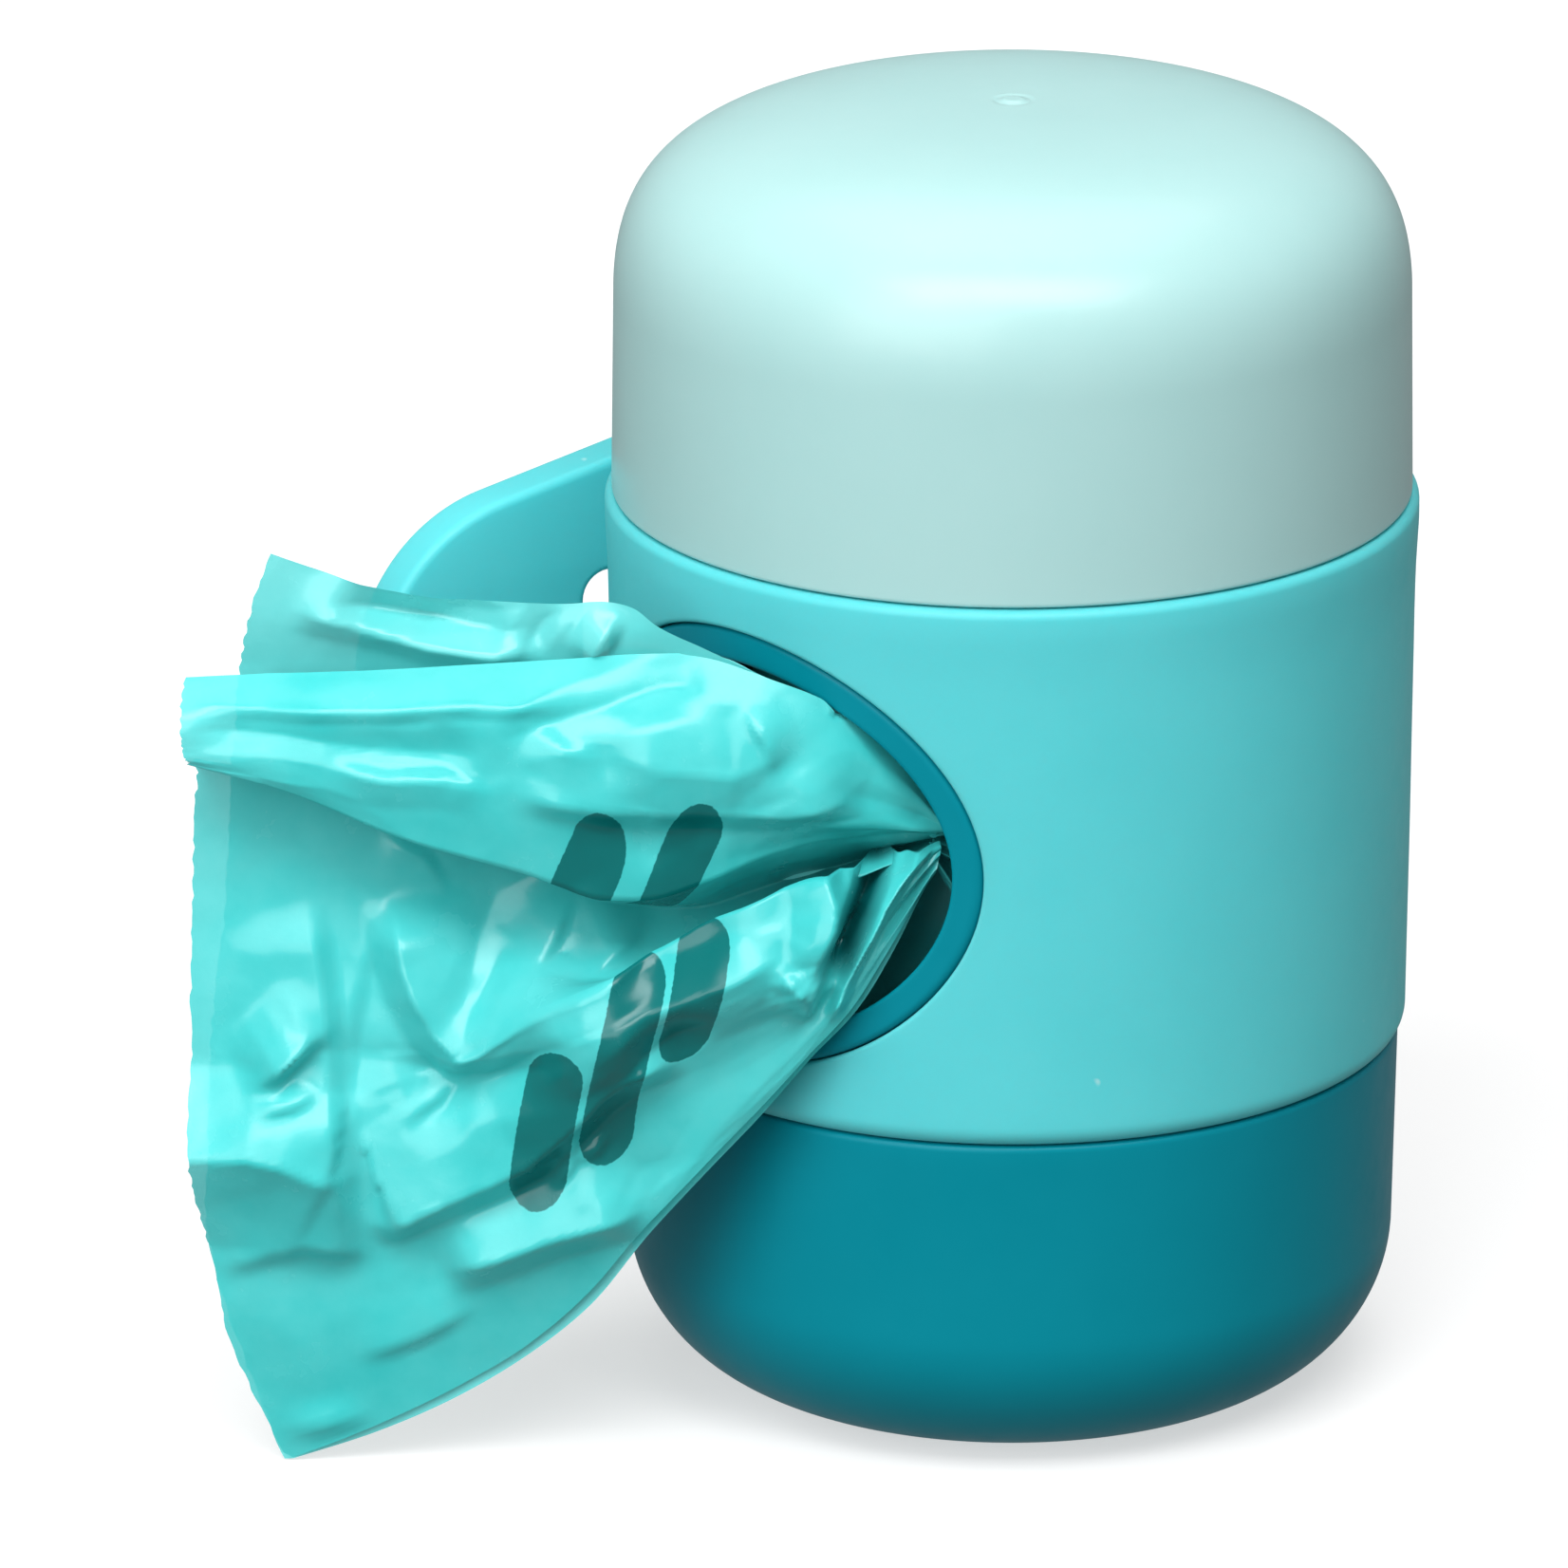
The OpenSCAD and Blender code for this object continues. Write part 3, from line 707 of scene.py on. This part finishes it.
BACK = [
    [(-4.8, -18.4, 39.4), (-6.4, -19.0, 42.1), (-8.8, -19.6, 45.0), (-11.4, -20.4, 46.8), (-14.6, -20.6, 48.7), (-17.2, -20.0, 49.8), (-19.9, -19.3, 51.0), (-21.1, -18.8, 51.8), (-22.6, -18.5, 52.1), (-24.7, -18.2, 51.9), (-27.4, -18.0, 51.9), (-31.6, -17.7, 52.0), (-35.3, -17.4, 52.6), (-38.5, -17.2, 53.4), (-41.7, -17.0, 54.5)],
    [(-4.8, -18.3, 39.1), (-7.2, -18.6, 41.3), (-10.4, -19.0, 43.4), (-14.6, -19.2, 45.7), (-18.3, -19.0, 47.6), (-22.0, -18.6, 49.6), (-25.8, -18.3, 50.1), (-30.0, -17.9, 50.2), (-34.3, -17.6, 50.7), (-38.5, -17.4, 51.1), (-42.6, -17.2, 51.3)],
    [(-4.8, -17.8, 38.6), (-8.8, -17.4, 40.0), (-13.1, -17.0, 41.3), (-18.4, -16.9, 42.6), (-24.8, -16.8, 44.0), (-31.2, -16.8, 44.8), (-37.6, -16.8, 45.6), (-43.5, -16.9, 46.5)],
    [(-4.9, -17.6, 37.8), (-8.8, -15.8, 35.8), (-14.2, -14.9, 34.0), (-20.6, -15.0, 32.9), (-27.1, -15.6, 32.5), (-33.5, -16.0, 33.2), (-39.3, -16.3, 34.4), (-44.3, -16.6, 35.6)],
    [(-5.0, -17.9, 37.2), (-8.3, -17.6, 33.3), (-12.0, -17.2, 29.2), (-17.4, -16.9, 25.6), (-23.9, -16.6, 22.6), (-31.4, -16.5, 20.8), (-39.0, -16.6, 20.8), (-45.5, -16.8, 22.0)],
    [(-5.1, -18.5, 36.7), (-7.7, -19.2, 32.4), (-10.9, -19.6, 27.7), (-16.3, -19.2, 22.4), (-22.8, -18.4, 17.0), (-30.4, -17.7, 12.6), (-38.0, -17.3, 10.7), (-45.4, -17.2, 11.8)],
    [(-5.2, -19.3, 36.1), (-6.9, -20.8, 32.0), (-8.8, -21.8, 28.8), (-11.2, -22.0, 26.1), (-13.9, -21.8, 22.7), (-17.4, -21.3, 18.6), (-20.3, -20.5, 15.0), (-23.8, -19.6, 10.2), (-28.0, -19.0, 6.5), (-31.3, -18.6, 4.3), (-35.8, -18.2, 2.0), (-41.5, -18.0, -0.1)],
]


def facets(x, y, cell, seed, stretch=1.0, spread=0.30):
    """Crumpled film: flat facets that meet in sharp creases. The slopes have a root mean square of 1."""
    r = np.random.default_rng(seed)
    px, py = x / (cell * stretch), y / cell
    total = np.zeros(px.shape)
    for sign in (1, -1):
        x0, x1, y0, y1 = px.min() - 1, px.max() + 1, py.min() - 1, py.max() + 1
        n = max(6, int((x1 - x0) * (y1 - y0)))
        best = np.full(px.shape, -1e9)
        for a, b, c in zip(r.uniform(x0, x1, n), r.uniform(y0, y1, n), r.normal(0, spread, n)):
            best = np.maximum(best, 2 * (a * px + b * py) - a * a - b * b + c)
        total += sign * best
    gx = np.gradient(total, axis=1) / np.gradient(x, axis=1)
    gy = np.gradient(total, axis=0) / np.gradient(y, axis=0)
    return (total - total.mean()) / math.sqrt(float((gx * gx + gy * gy).mean()))


def pleats(U, V, seed, depth, reach, pitch=(1.4, 3.4)):
    """Zigzag folds that run out of the gathered neck, each fading at its own distance."""
    r = np.random.default_rng(seed)
    knots, heights, lengths, sign = [V.min() - 0.5], [0.4], [0.7], 1
    while knots[-1] < V.max() + 0.5:
        knots.append(knots[-1] + r.uniform(*pitch))
        heights.append(sign * r.uniform(0.35, 1.0))
        lengths.append(r.uniform(0.35, 1.0))
        sign = -sign
    k, hh, ll = np.array(knots), np.array(heights), np.array(lengths)
    vw = np.clip(V + 0.7 * np.sin(U * 0.33 + seed) * np.clip(U / 12, 0, 1), k[0], k[-1] - 1e-6)
    i = np.clip(np.searchsorted(k, vw.ravel(), side="right").reshape(vw.shape) - 1, 0, len(k) - 2)
    t = (vw - k[i]) / (k[i + 1] - k[i])
    a = hh[i] * np.exp(-U / (reach * ll[i]))
    b = hh[i + 1] * np.exp(-U / (reach * ll[i + 1]))
    return depth * (a * (1 - t) + b * t)


def layer(ribs, sharp, nu, step):
    """A film layer through its ribs. Rows run along the film from the neck; folds stay sharp."""
    u = np.linspace(0, 1, nu)
    r = np.stack([spline(p, u ** 1.15) for p in ribs])            # rib, station, xyz
    gap = np.linalg.norm(np.diff(r, axis=0), axis=2).mean(1)
    v = np.concatenate([[0], np.cumsum(gap)])
    cuts = sorted(set([0, len(ribs) - 1, *sharp]))
    rows, vv = [], []
    for a, b in zip(cuts[:-1], cuts[1:]):
        n = max(4, int((v[b] - v[a]) / step))
        q = np.linspace(v[a], v[b], n + 1)[(0 if a == 0 else 1):]
        vs = v[a:b + 1]
        m = np.gradient(r[a:b + 1], vs, axis=0, edge_order=1) if b - a > 1 else np.repeat(((r[b] - r[a]) / (v[b] - v[a]))[None], 2, 0)
        for s in q:
            i = min(max(int(np.searchsorted(vs, s, side="right")) - 1, 0), b - a - 1)
            h = vs[i + 1] - vs[i]
            x = (s - vs[i]) / h
            rows.append((2 * x**3 - 3 * x**2 + 1) * r[a + i] + (x**3 - 2 * x**2 + x) * h * m[i]
                        + (-2 * x**3 + 3 * x**2) * r[a + i + 1] + (x**3 - x**2) * h * m[i + 1])
            vv.append(s)
    return np.array(rows), u, np.array(vv)


def crease(x, z, pts, depth, left, right, fade=3.0, power=1.12):
    """A fold line through pts: depth towards the viewer, falling off over left and right of the line."""
    pts = np.asarray(pts, float)
    best = np.full(x.shape, 1e9)
    side = np.ones(x.shape)
    along = np.zeros(x.shape)
    seg = np.linalg.norm(np.diff(pts, axis=0), axis=1)
    run = np.concatenate([[0], np.cumsum(seg)])
    for k in range(len(pts) - 1):
        a, b = pts[k], pts[k + 1]
        d = b - a
        t = np.clip(((x - a[0]) * d[0] + (z - a[1]) * d[1]) / (d @ d), 0, 1)
        ox, oz = x - a[0] - t * d[0], z - a[1] - t * d[1]
        dist = np.hypot(ox, oz)
        near = dist < best
        best = np.where(near, dist, best)
        side = np.where(near, np.sign(d[0] * oz - d[1] * ox), side)
        along = np.where(near, run[k] + t * seg[k], along)
    w = np.where(side > 0, left, right)
    fade = min(fade, 0.45 * run[-1])
    ends = np.clip(along / fade, 0, 1) * np.clip((run[-1] - along) / fade, 0, 1)
    ends = ends * ends * (3 - 2 * ends)
    return depth * np.clip(1 - best / w, 0, None) ** power * ends


# Folds read off the photo, in the film's frame (x, z). Lines run right to left, or from the top down;
# the first width is below (or right of) the line and the second above (or left of) it.
FRONT_FOLDS = [
    ([(-18.2, 27.0), (-21.4, 25.5), (-23.2, 23.9), (-25.0, 21.8), (-27.2, 19.6), (-29.3, 18.4), (-31.9, 17.2), (-34.8, 15.4), (-36.8, 15.1)], 1.7, 1.5, 6.0),
    ([(-20.1, 16.8), (-22.9, 16.1), (-25.8, 15.2), (-28.0, 14.2), (-30.3, 13.3), (-32.5, 12.3)], 1.4, 1.9, 4.5),
    ([(-19.9, 32.8), (-22.8, 31.0), (-25.6, 29.6), (-27.8, 28.0), (-30.0, 26.2), (-31.0, 25.8), (-32.4, 27.2), (-33.5, 29.1), (-34.2, 30.8), (-34.5, 32.8), (-34.8, 34.6)], 1.6, 1.9, 5.5),
    ([(-24.8, 26.1), (-28.5, 25.0), (-31.2, 24.4), (-33.3, 24.6), (-35.3, 25.2)], -0.7, 2.6, 1.3),
    ([(-39.7, 34.2), (-39.0, 30.9), (-38.5, 27.2), (-38.4, 23.4), (-38.2, 19.0)], 0.7, 1.0, 7.0),
    ([(-34.9, 33.0), (-35.9, 29.7), (-36.6, 26.4), (-37.0, 21.4)], -0.3, 2.8, 0.8),
    ([(-36.0, 18.6), (-38.2, 18.4), (-41.0, 19.6), (-43.0, 20.0), (-50.0, 19.4)], 2.3, 6.5, 4.6),
    ([(-38.0, 27.2), (-39.6, 26.4), (-41.4, 24.6), (-43.4, 23.4)], 1.5, 0.9, 3.4),
    ([(-38.6, 23.6), (-40.4, 22.9), (-43.2, 22.2)], 0.5, 0.5, 1.8),
    ([(-12.0, 33.6), (-15.5, 31.8), (-19.9, 29.9), (-24.0, 28.2), (-27.0, 26.9)], 0.9, 3.4, 2.2),
    ([(-28.2, 32.0), (-29.6, 29.4), (-30.9, 27.2)], -0.55, 0.9, 2.2),
    ([(-29.0, 44.0), (-35.3, 44.3), (-40.6, 45.0), (-46.4, 45.2)], -0.5, 1.2, 3.2),
    ([(-24.6, 46.9), (-29.3, 47.0), (-35.2, 46.7), (-40.4, 46.5), (-46.2, 46.5)], 0.3, 0.8, 1.4),
    ([(-16.2, 48.1), (-19.8, 47.6), (-24.6, 46.3), (-28.8, 45.0)], -0.6, 1.6, 1.6),
    ([(-12.0, 44.5), (-15.5, 43.2), (-19.0, 43.6), (-23.0, 44.4)], 0.7, 2.4, 3.2),
    ([(-8.0, 41.6), (-12.5, 40.6), (-17.0, 40.9), (-22.0, 41.0), (-28.0, 42.0)], 0.6, 1.2, 2.8),
    ([(-13.4, 33.0), (-12.0, 31.5), (-10.6, 29.8)], 0.7, 0.8, 1.2),
    ([(-16.0, 29.5), (-20.5, 27.0), (-24.0, 22.5)], -0.6, 1.4, 1.8),
    ([(-35.6, 13.4), (-39.9, 14.0), (-43.5, 12.7), (-45.2, 11.8)], 0.5, 0.9, 4.2),
    ([(-35.8, 3.4), (-39.1, 2.4), (-42.0, 1.6)], 0.4, 0.7, 1.6),
    ([(-30.0, 10.5), (-33.5, 8.2), (-37.5, 6.6)], 0.35, 0.6, 3.4),
    ([(-24.5, 21.4), (-24.8, 19.4), (-25.8, 17.8)], 0.5, 0.5, 1.6),
    ([(-22.5, 21.8), (-23.4, 20.4), (-25.0, 19.6)], 0.5, 0.6, 1.5),
    ([(-34.5, 21.0), (-32.0, 22.5), (-30.4, 24.6)], -0.5, 0.7, 2.0),
    ([(-27.5, 30.0), (-25.8, 31.9), (-24.6, 34.5)], 0.45, 2.4, 0.6),
    ([(-36.0, 38.0), (-33.0, 36.2), (-31.4, 33.6)], 0.35, 0.6, 2.6),
    ([(-15.0, 47.2), (-13.6, 45.2), (-13.0, 43.0)], 0.5, 1.8, 0.6),
    ([(-27.5, 46.4), (-25.0, 44.6), (-22.0, 43.8)], 0.35, 0.7, 2.0),
    ([(-38.5, 43.6), (-35.0, 42.8), (-31.5, 42.9), (-28.5, 41.8)], 0.4, 0.6, 1.8),
]
# beside the neck, on the lower cone only: a knee, a closed pocket and a thin bright fold
NECK_FOLDS = [
    ([(-10.6, 38.6), (-9.7, 35.9), (-9.7, 34.0), (-10.9, 31.0), (-11.6, 28.5)], 1.2, 0.6, 2.6),
    ([(-6.6, 39.4), (-7.3, 37.4), (-7.9, 36.0), (-8.5, 34.6), (-9.2, 33.0), (-10.1, 30.9)], -3.0, 0.9, 1.3),
    ([(-4.4, 39.2), (-5.5, 37.3), (-6.2, 36.5), (-7.0, 35.2), (-7.8, 33.6), (-9.1, 31.3), (-10.1, 28.6)], 1.0, 0.7, 0.5),
]
BACK_FOLDS = [
    ([(-26.6, 50.6), (-28.4, 50.1), (-33.8, 51.0), (-38.5, 51.7)], -0.9, 1.6, 1.6),
    ([(-26.0, 49.4), (-29.0, 48.9), (-32.7, 49.2), (-36.4, 50.3), (-40.7, 51.3)], 1.0, 1.4, 2.4),
    ([(-21.8, 51.8), (-22.8, 50.1), (-24.1, 48.1)], 0.9, 0.9, 1.7),
    ([(-25.2, 51.9), (-26.4, 50.4), (-27.4, 48.6)], -0.5, 1.0, 1.4),
    ([(-30.0, 51.9), (-34.5, 52.6), (-39.0, 53.2)], 0.5, 1.4, 1.0),
]


# centres (x, z) and radii of the most crumpled patches
BUSY = [(-39.2, 24.8, 4.5), (-27.0, 19.0, 3.2), (-22.6, 18.6, 3.0), (-13.9, 34.0, 4.0), (-32.7, 26.7, 4.0), (-10.6, 31.8, 3.0),
        (-24.0, 27.5, 3.5), (-12.0, 41.5, 4.0), (-30.0, 45.5, 3.5), (-31.0, 14.0, 3.0), (-20.0, 40.0, 2.5)]


def bar(U, V, cu, cv, length, width, ang):
    """Signed distance to a bar with round ends."""
    a = math.radians(ang)
    du, dv = U - cu, V - cv
    s = du * math.cos(a) + dv * math.sin(a)
    t = -du * math.sin(a) + dv * math.cos(a)
    return np.hypot(np.maximum(np.abs(s) - (length - width) / 2, 0), t) - width / 2


def print_mask(U, V):
    """Plain slanted stripes with round ends."""
    d = np.minimum.reduce([bar(U, V, 17.2, 28.2, 8.0, 3.1, 62), bar(U, V, 22.0, 29.8, 11.5, 3.1, 62), bar(U, V, 26.8, 31.4, 8.0, 3.1, 62),
                           bar(U, V, 17.4, 10.0, 8.5, 3.1, 62), bar(U, V, 22.2, 9.4, 5.5, 3.1, 62)])
    return np.clip(0.5 - d / 0.5, 0, 1)


def to_row(pts):
    c, s = math.cos(FILM_TURN), math.sin(FILM_TURN)
    return np.stack([c * pts[..., 0] - s * pts[..., 1], s * pts[..., 0] + c * pts[..., 1], pts[..., 2]], -1)


def film_object(name, row, ink, material, fold=None, lay=None):
    shell = Shell()
    shell.grid(row)
    me = bpy.data.meshes.new(name)
    me.from_pydata((np.array(shell.v) * MM).tolist(), [], shell.f)
    me.update()
    ob = place(name, me, material, sharp=0)
    col = me.color_attributes.new("print", "FLOAT_COLOR", "POINT")
    data = np.ones((ink.size, 4), np.float32)
    data[:, :3] = ink.reshape(-1, 1)
    col.data.foreach_set("color", data.ravel())
    # painted shade: the darkening of the film's colour is stored as the "fold" colour attribute
    col = me.color_attributes.new("fold", "FLOAT_COLOR", "POINT")
    data[:, :3] = 0 if fold is None else fold.reshape(-1, 1)
    col.data.foreach_set("color", data.ravel())
    flat = me.attributes.new("lay", "FLOAT_VECTOR", "POINT")
    flat.data.foreach_set("vector", (np.array(shell.v) * MM if lay is None else lay.reshape(-1, 3)).astype(np.float32).ravel())
    return ob


def build_film(name, ribs, sharp, seed, folds, material, nu=190, step=0.22, calm=None, shade=()):
    pts, u, vv = layer(ribs, sharp, int(nu * DETAIL), step / DETAIL)
    U, V = np.meshgrid(u * 44.0, vv)
    h = pleats(U, V, seed + 1, 0.95, 9.0)
    h += pleats(U, V, seed + 5, 0.40, 22.0, pitch=(2.4, 6.0))
    busy = np.full(U.shape, 0.35)                      # where the film is most crumpled
    for bx, bz, br in BUSY:
        busy += 1.1 * np.exp(-(((pts[..., 0] - bx) / br) ** 2 + ((pts[..., 2] - bz) / (0.8 * br)) ** 2))
    busy = np.minimum(busy, 1.35)
    h += facets(U, V, 10.0, seed + 2, stretch=1.4) * 0.09 * np.clip(U / 14, 0.1, 1)
    h += facets(U, V, 4.0, seed + 3, stretch=1.6) * 0.12 * busy * np.clip(U / 10, 0.3, 1)
    h += facets(U, V, 1.7, seed + 4, stretch=1.3) * 0.085 * busy
    if calm is not None:
        h *= np.clip((calm - V) / 3.0, 0.25, 1)
    h *= np.clip(U / 2.5, 0.15, 1)
    pts[..., 0] += 0.9 * np.exp(-U / 5.0)
    for line, depth, low_side, high_side in folds:
        h = h + crease(pts[..., 0], pts[..., 2], line, 1.35 * depth, low_side, high_side)
    # painted shade: the neck pocket's depth is also kept as a darkening of the film's colour
    pocket_shade = 0
    if shade:
        for line, depth, low_side, high_side in NECK_FOLDS:
            fall = crease(pts[..., 0], pts[..., 2], line, 1.35 * depth, low_side, high_side, fade=1.6) * np.clip((V - 22.5) / 2.5, 0, 1)
            h = h + fall
            pocket_shade = pocket_shade + np.clip(-fall / 2.6, 0, 1)
    pts[..., 1] -= h
    # torn edge: small teeth left by the perforation, with a few longer tears
    teeth = 0.13 * np.abs(((vv / 0.86 + 0.25 * np.sin(vv * 0.9)) % 1.0) - 0.5) * 2 + 0.10 * rng.random(len(vv)) + 0.30 * np.clip(np.sin(vv * 0.71 + seed) - 0.55, 0, 1)
    end = np.clip((u - 0.965) / 0.035, 0, 1) ** 2
    direction = pts[:, -1] - pts[:, -4]
    direction /= np.linalg.norm(direction, axis=1, keepdims=True)
    pts = pts - direction[:, None, :] * (end[None, :, None] * teeth[:, None, None])
    # painted shade: the film's colour is darkened in the valley under the band, beside the neck (the shade tuples) and
    # in the neck pocket, and goes to the "fold" attribute
    fold = np.zeros(U.shape)
    for middle, above, below, u0, strength in shade:
        reach = np.where(V > middle, below, above)
        fold = np.maximum(fold, strength * np.exp(-((V - middle) / reach) ** 2) * np.exp(-np.clip(U - u0, 0, None) / 14.0))
    fold = np.maximum(fold, pocket_shade)
    lay = np.stack([U * 0.55, V, np.full(U.shape, seed * 1.0)], -1) * MM
    ob = film_object(name, clear_of_body(to_row(pts)), print_mask(U, V) * (1 if calm is None else (V < 16)), material, fold, lay)
    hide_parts("pulled_bag")
    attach(ob, "lead_bag")
    return ob


def clear_of_body(row):
    """Keeps film out of the wall: in the hole's mouth or just outside the sleeve, whichever is nearer."""
    x, y, z = row[..., 0], row[..., 1], row[..., 2]
    r = np.hypot(x, y)
    q = np.sqrt((x / (HOLE_A - 0.25)) ** 2 + ((z - OPEN_Z) / (HOLE_B - 0.25)) ** 2)
    limit = np.where(z < SHOULDER, 22.6, 23.2)
    limit = np.where(z > SEAM, 23.1, limit)
    inside_wall = (r > 19.3) & (r < limit) & (q > 1)
    out = limit / np.maximum(r, 1e-6)
    use_out = inside_wall & ((limit - r < (q - 1) * 11.0) | (q > 1.15))
    use_in = inside_wall & ~use_out
    row[..., 0] = np.where(use_out, x * out, np.where(use_in, x / q, x))
    row[..., 1] = np.where(use_out, y * out, y)
    row[..., 2] = np.where(use_in, OPEN_Z + (z - OPEN_Z) / q, z)
    row[..., 2] = np.maximum(row[..., 2], 0.12)
    return row


# the shade tuples paint shade into the front film's colour under the band and beside the neck
film_front = build_film("bag_film_front", FRONT, FRONT_SHARP, 21, FRONT_FOLDS, MAT_FILM,
                        shade=[(14.6, 3.2, 3.2, 27.0, 0.28), (14.5, 3.6, 6.5, 5.0, 1.0)])
film_back = build_film("bag_film_back", BACK, (0, 6), 58, BACK_FOLDS, MAT_SINGLE, calm=10.0)

# the film between the roll and the neck: it leaves the roll at full width and is gathered into the hole
n_web, m_web = int(120 * DETAIL), int(60 * DETAIL)
tt = np.linspace(0, 1, m_web)
leave = math.radians(296.3)
rows = []
ink = np.zeros((n_web, m_web))
for k, zr in enumerate(np.linspace(13.0, 61.0, n_web)):
    f = k / (n_web - 1)
    waist = np.array([-4.4, -18.7 - 0.8 * math.sin(f * 23.0), 37.0 + 2.2 * f])
    tangent = np.array([15.08 * math.cos(leave), 15.08 * math.sin(leave), zr])
    line = []
    for t in tt:
        if t < 0.25:                                   # still lying on the roll
            a = leave + math.radians(26) * (1 - t / 0.25)
            line.append((15.08 * math.cos(a), 15.08 * math.sin(a), zr))
        else:
            s = (t - 0.25) / 0.75
            p = tangent * (1 - s) + waist * s
            fold = math.sin(f * 61.0 + 2.0 * math.sin(f * 17.0)) * 0.75 * s * (1 - 0.4 * s)
            line.append((p[0] + 0.447 * fold, p[1] - 0.894 * fold, p[2]))
    rows.append(line)
web_row = to_row(np.array(rows))
rad = np.hypot(web_row[..., 0], web_row[..., 1])
lift = np.maximum(rad, 15.06) / rad
web_row[..., 0] *= lift
web_row[..., 1] *= lift
# painted shade: the web lies in the shade inside the body, so its colour is darkened all over through the "fold"
# attribute, less towards the neck
web = film_object("bag_film_web", web_row, ink, MAT_FILM, ink + 0.8 - 0.65 * np.clip((tt - 0.84) / 0.16, 0, 1))
# a point a little way in from the mouth towards where the film leaves the roll; the web's placement is baked into its
# mesh
mouth = np.array([-4.4, -18.7, 38.1])
inner = np.array([15.08 * math.cos(leave), 15.08 * math.sin(leave), 38.1])
a = to_row((mouth + 0.14 * (inner - mouth))[None])[0] * MM
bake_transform(web)

# ------------------------------------------------------------------ floor, light, camera
floor_mesh = bpy.data.meshes.new("floor")
floor_mesh.from_pydata([(-3, -3, 0), (3, -3, 0), (3, 3, 0), (-3, 3, 0)], [], [(0, 1, 2, 3)])
m, nodes, links = new_material("floor_paper")
out = nodes.new("ShaderNodeOutputMaterial")
p = nodes.new("ShaderNodeBsdfPrincipled")
p.inputs["Roughness"].default_value = 0.85
p.inputs["Specular IOR Level"].default_value = 0.2
co = nodes.new("ShaderNodeTexCoord").outputs["Object"]
n1 = noise(nodes, links, co, 30.0, 3.0, 0.5)
links.new(ramp(nodes, links, n1.outputs["Fac"], [(0.3, (0.43, 0.43, 0.43)), (0.7, (0.45, 0.45, 0.45))]).outputs["Color"], p.inputs["Base Color"])
p.inputs["Emission Color"].default_value = (1, 1, 1, 1)
p.inputs["Emission Strength"].default_value = 0.57
links.new(p.outputs["BSDF"], out.inputs["Surface"])
floor = place("floor", floor_mesh, m, sharp=0)
floor.visible_diffuse = False
floor.visible_glossy = False

world = bpy.data.worlds.new("studio")
bpy.context.scene.world = world
world.use_nodes = True
world.node_tree.nodes["Background"].inputs["Color"].default_value = (1, 1, 1, 1)
world.node_tree.nodes["Background"].inputs["Strength"].default_value = 0.27


def area(name, place_at, aim, size, power, colour=(1, 1, 1)):
    li = bpy.data.lights.new(name, "AREA")
    li.shape = "RECTANGLE"
    li.size, li.size_y = size
    li.energy = power
    li.color = colour
    ob = bpy.data.objects.new(name, li)
    ob.location = place_at
    ob.rotation_euler = (Vector(aim) - Vector(place_at)).to_track_quat("-Z", "Y").to_euler()
    bpy.context.scene.collection.objects.link(ob)
    return ob


def polar(azimuth, elevation, distance, aim=(0, 0, 0.045)):
    """A place round the object. Azimuth 0 is on the -Y side, 42.5 the camera's."""
    a, e = math.radians(azimuth), math.radians(elevation)
    return (aim[0] + distance * math.cos(e) * math.sin(a), aim[1] - distance * math.cos(e) * math.cos(a), aim[2] + distance * math.sin(e))


area("key", polar(41, 57, 2.4), (0, 0, 0.05), (2.4, 0.95), 56.0)
area("over", (-0.40, 0.45, 2.0), (0, 0, 0.0), (1.6, 1.6), 13.0)
area("fill", polar(14, 24, 1.9), (0, 0, 0.04), (1.5, 1.3), 19.0)

cam = bpy.data.cameras.new("camera")
cam.sensor_width = 36.0
cam.lens = 323.845
cam.clip_start, cam.clip_end = 0.05, 10
cam_ob = bpy.data.objects.new("camera", cam)
cam_ob.matrix_world = Matrix(((0.72613744, -0.22322378, 0.65030421, 0.51768179),
                              (0.68754682, 0.23842977, -0.68587945, -0.56495054),
                              (-0.00194728, 0.94515733, 0.32660958, 0.29960112),
                              (0, 0, 0, 1)))
bpy.context.scene.collection.objects.link(cam_ob)
bpy.context.scene.camera = cam_ob
bpy.context.scene.view_settings.view_transform = "Standard"
bpy.context.scene.view_settings.look = "None"
bpy.context.scene.view_settings.exposure = 0.0
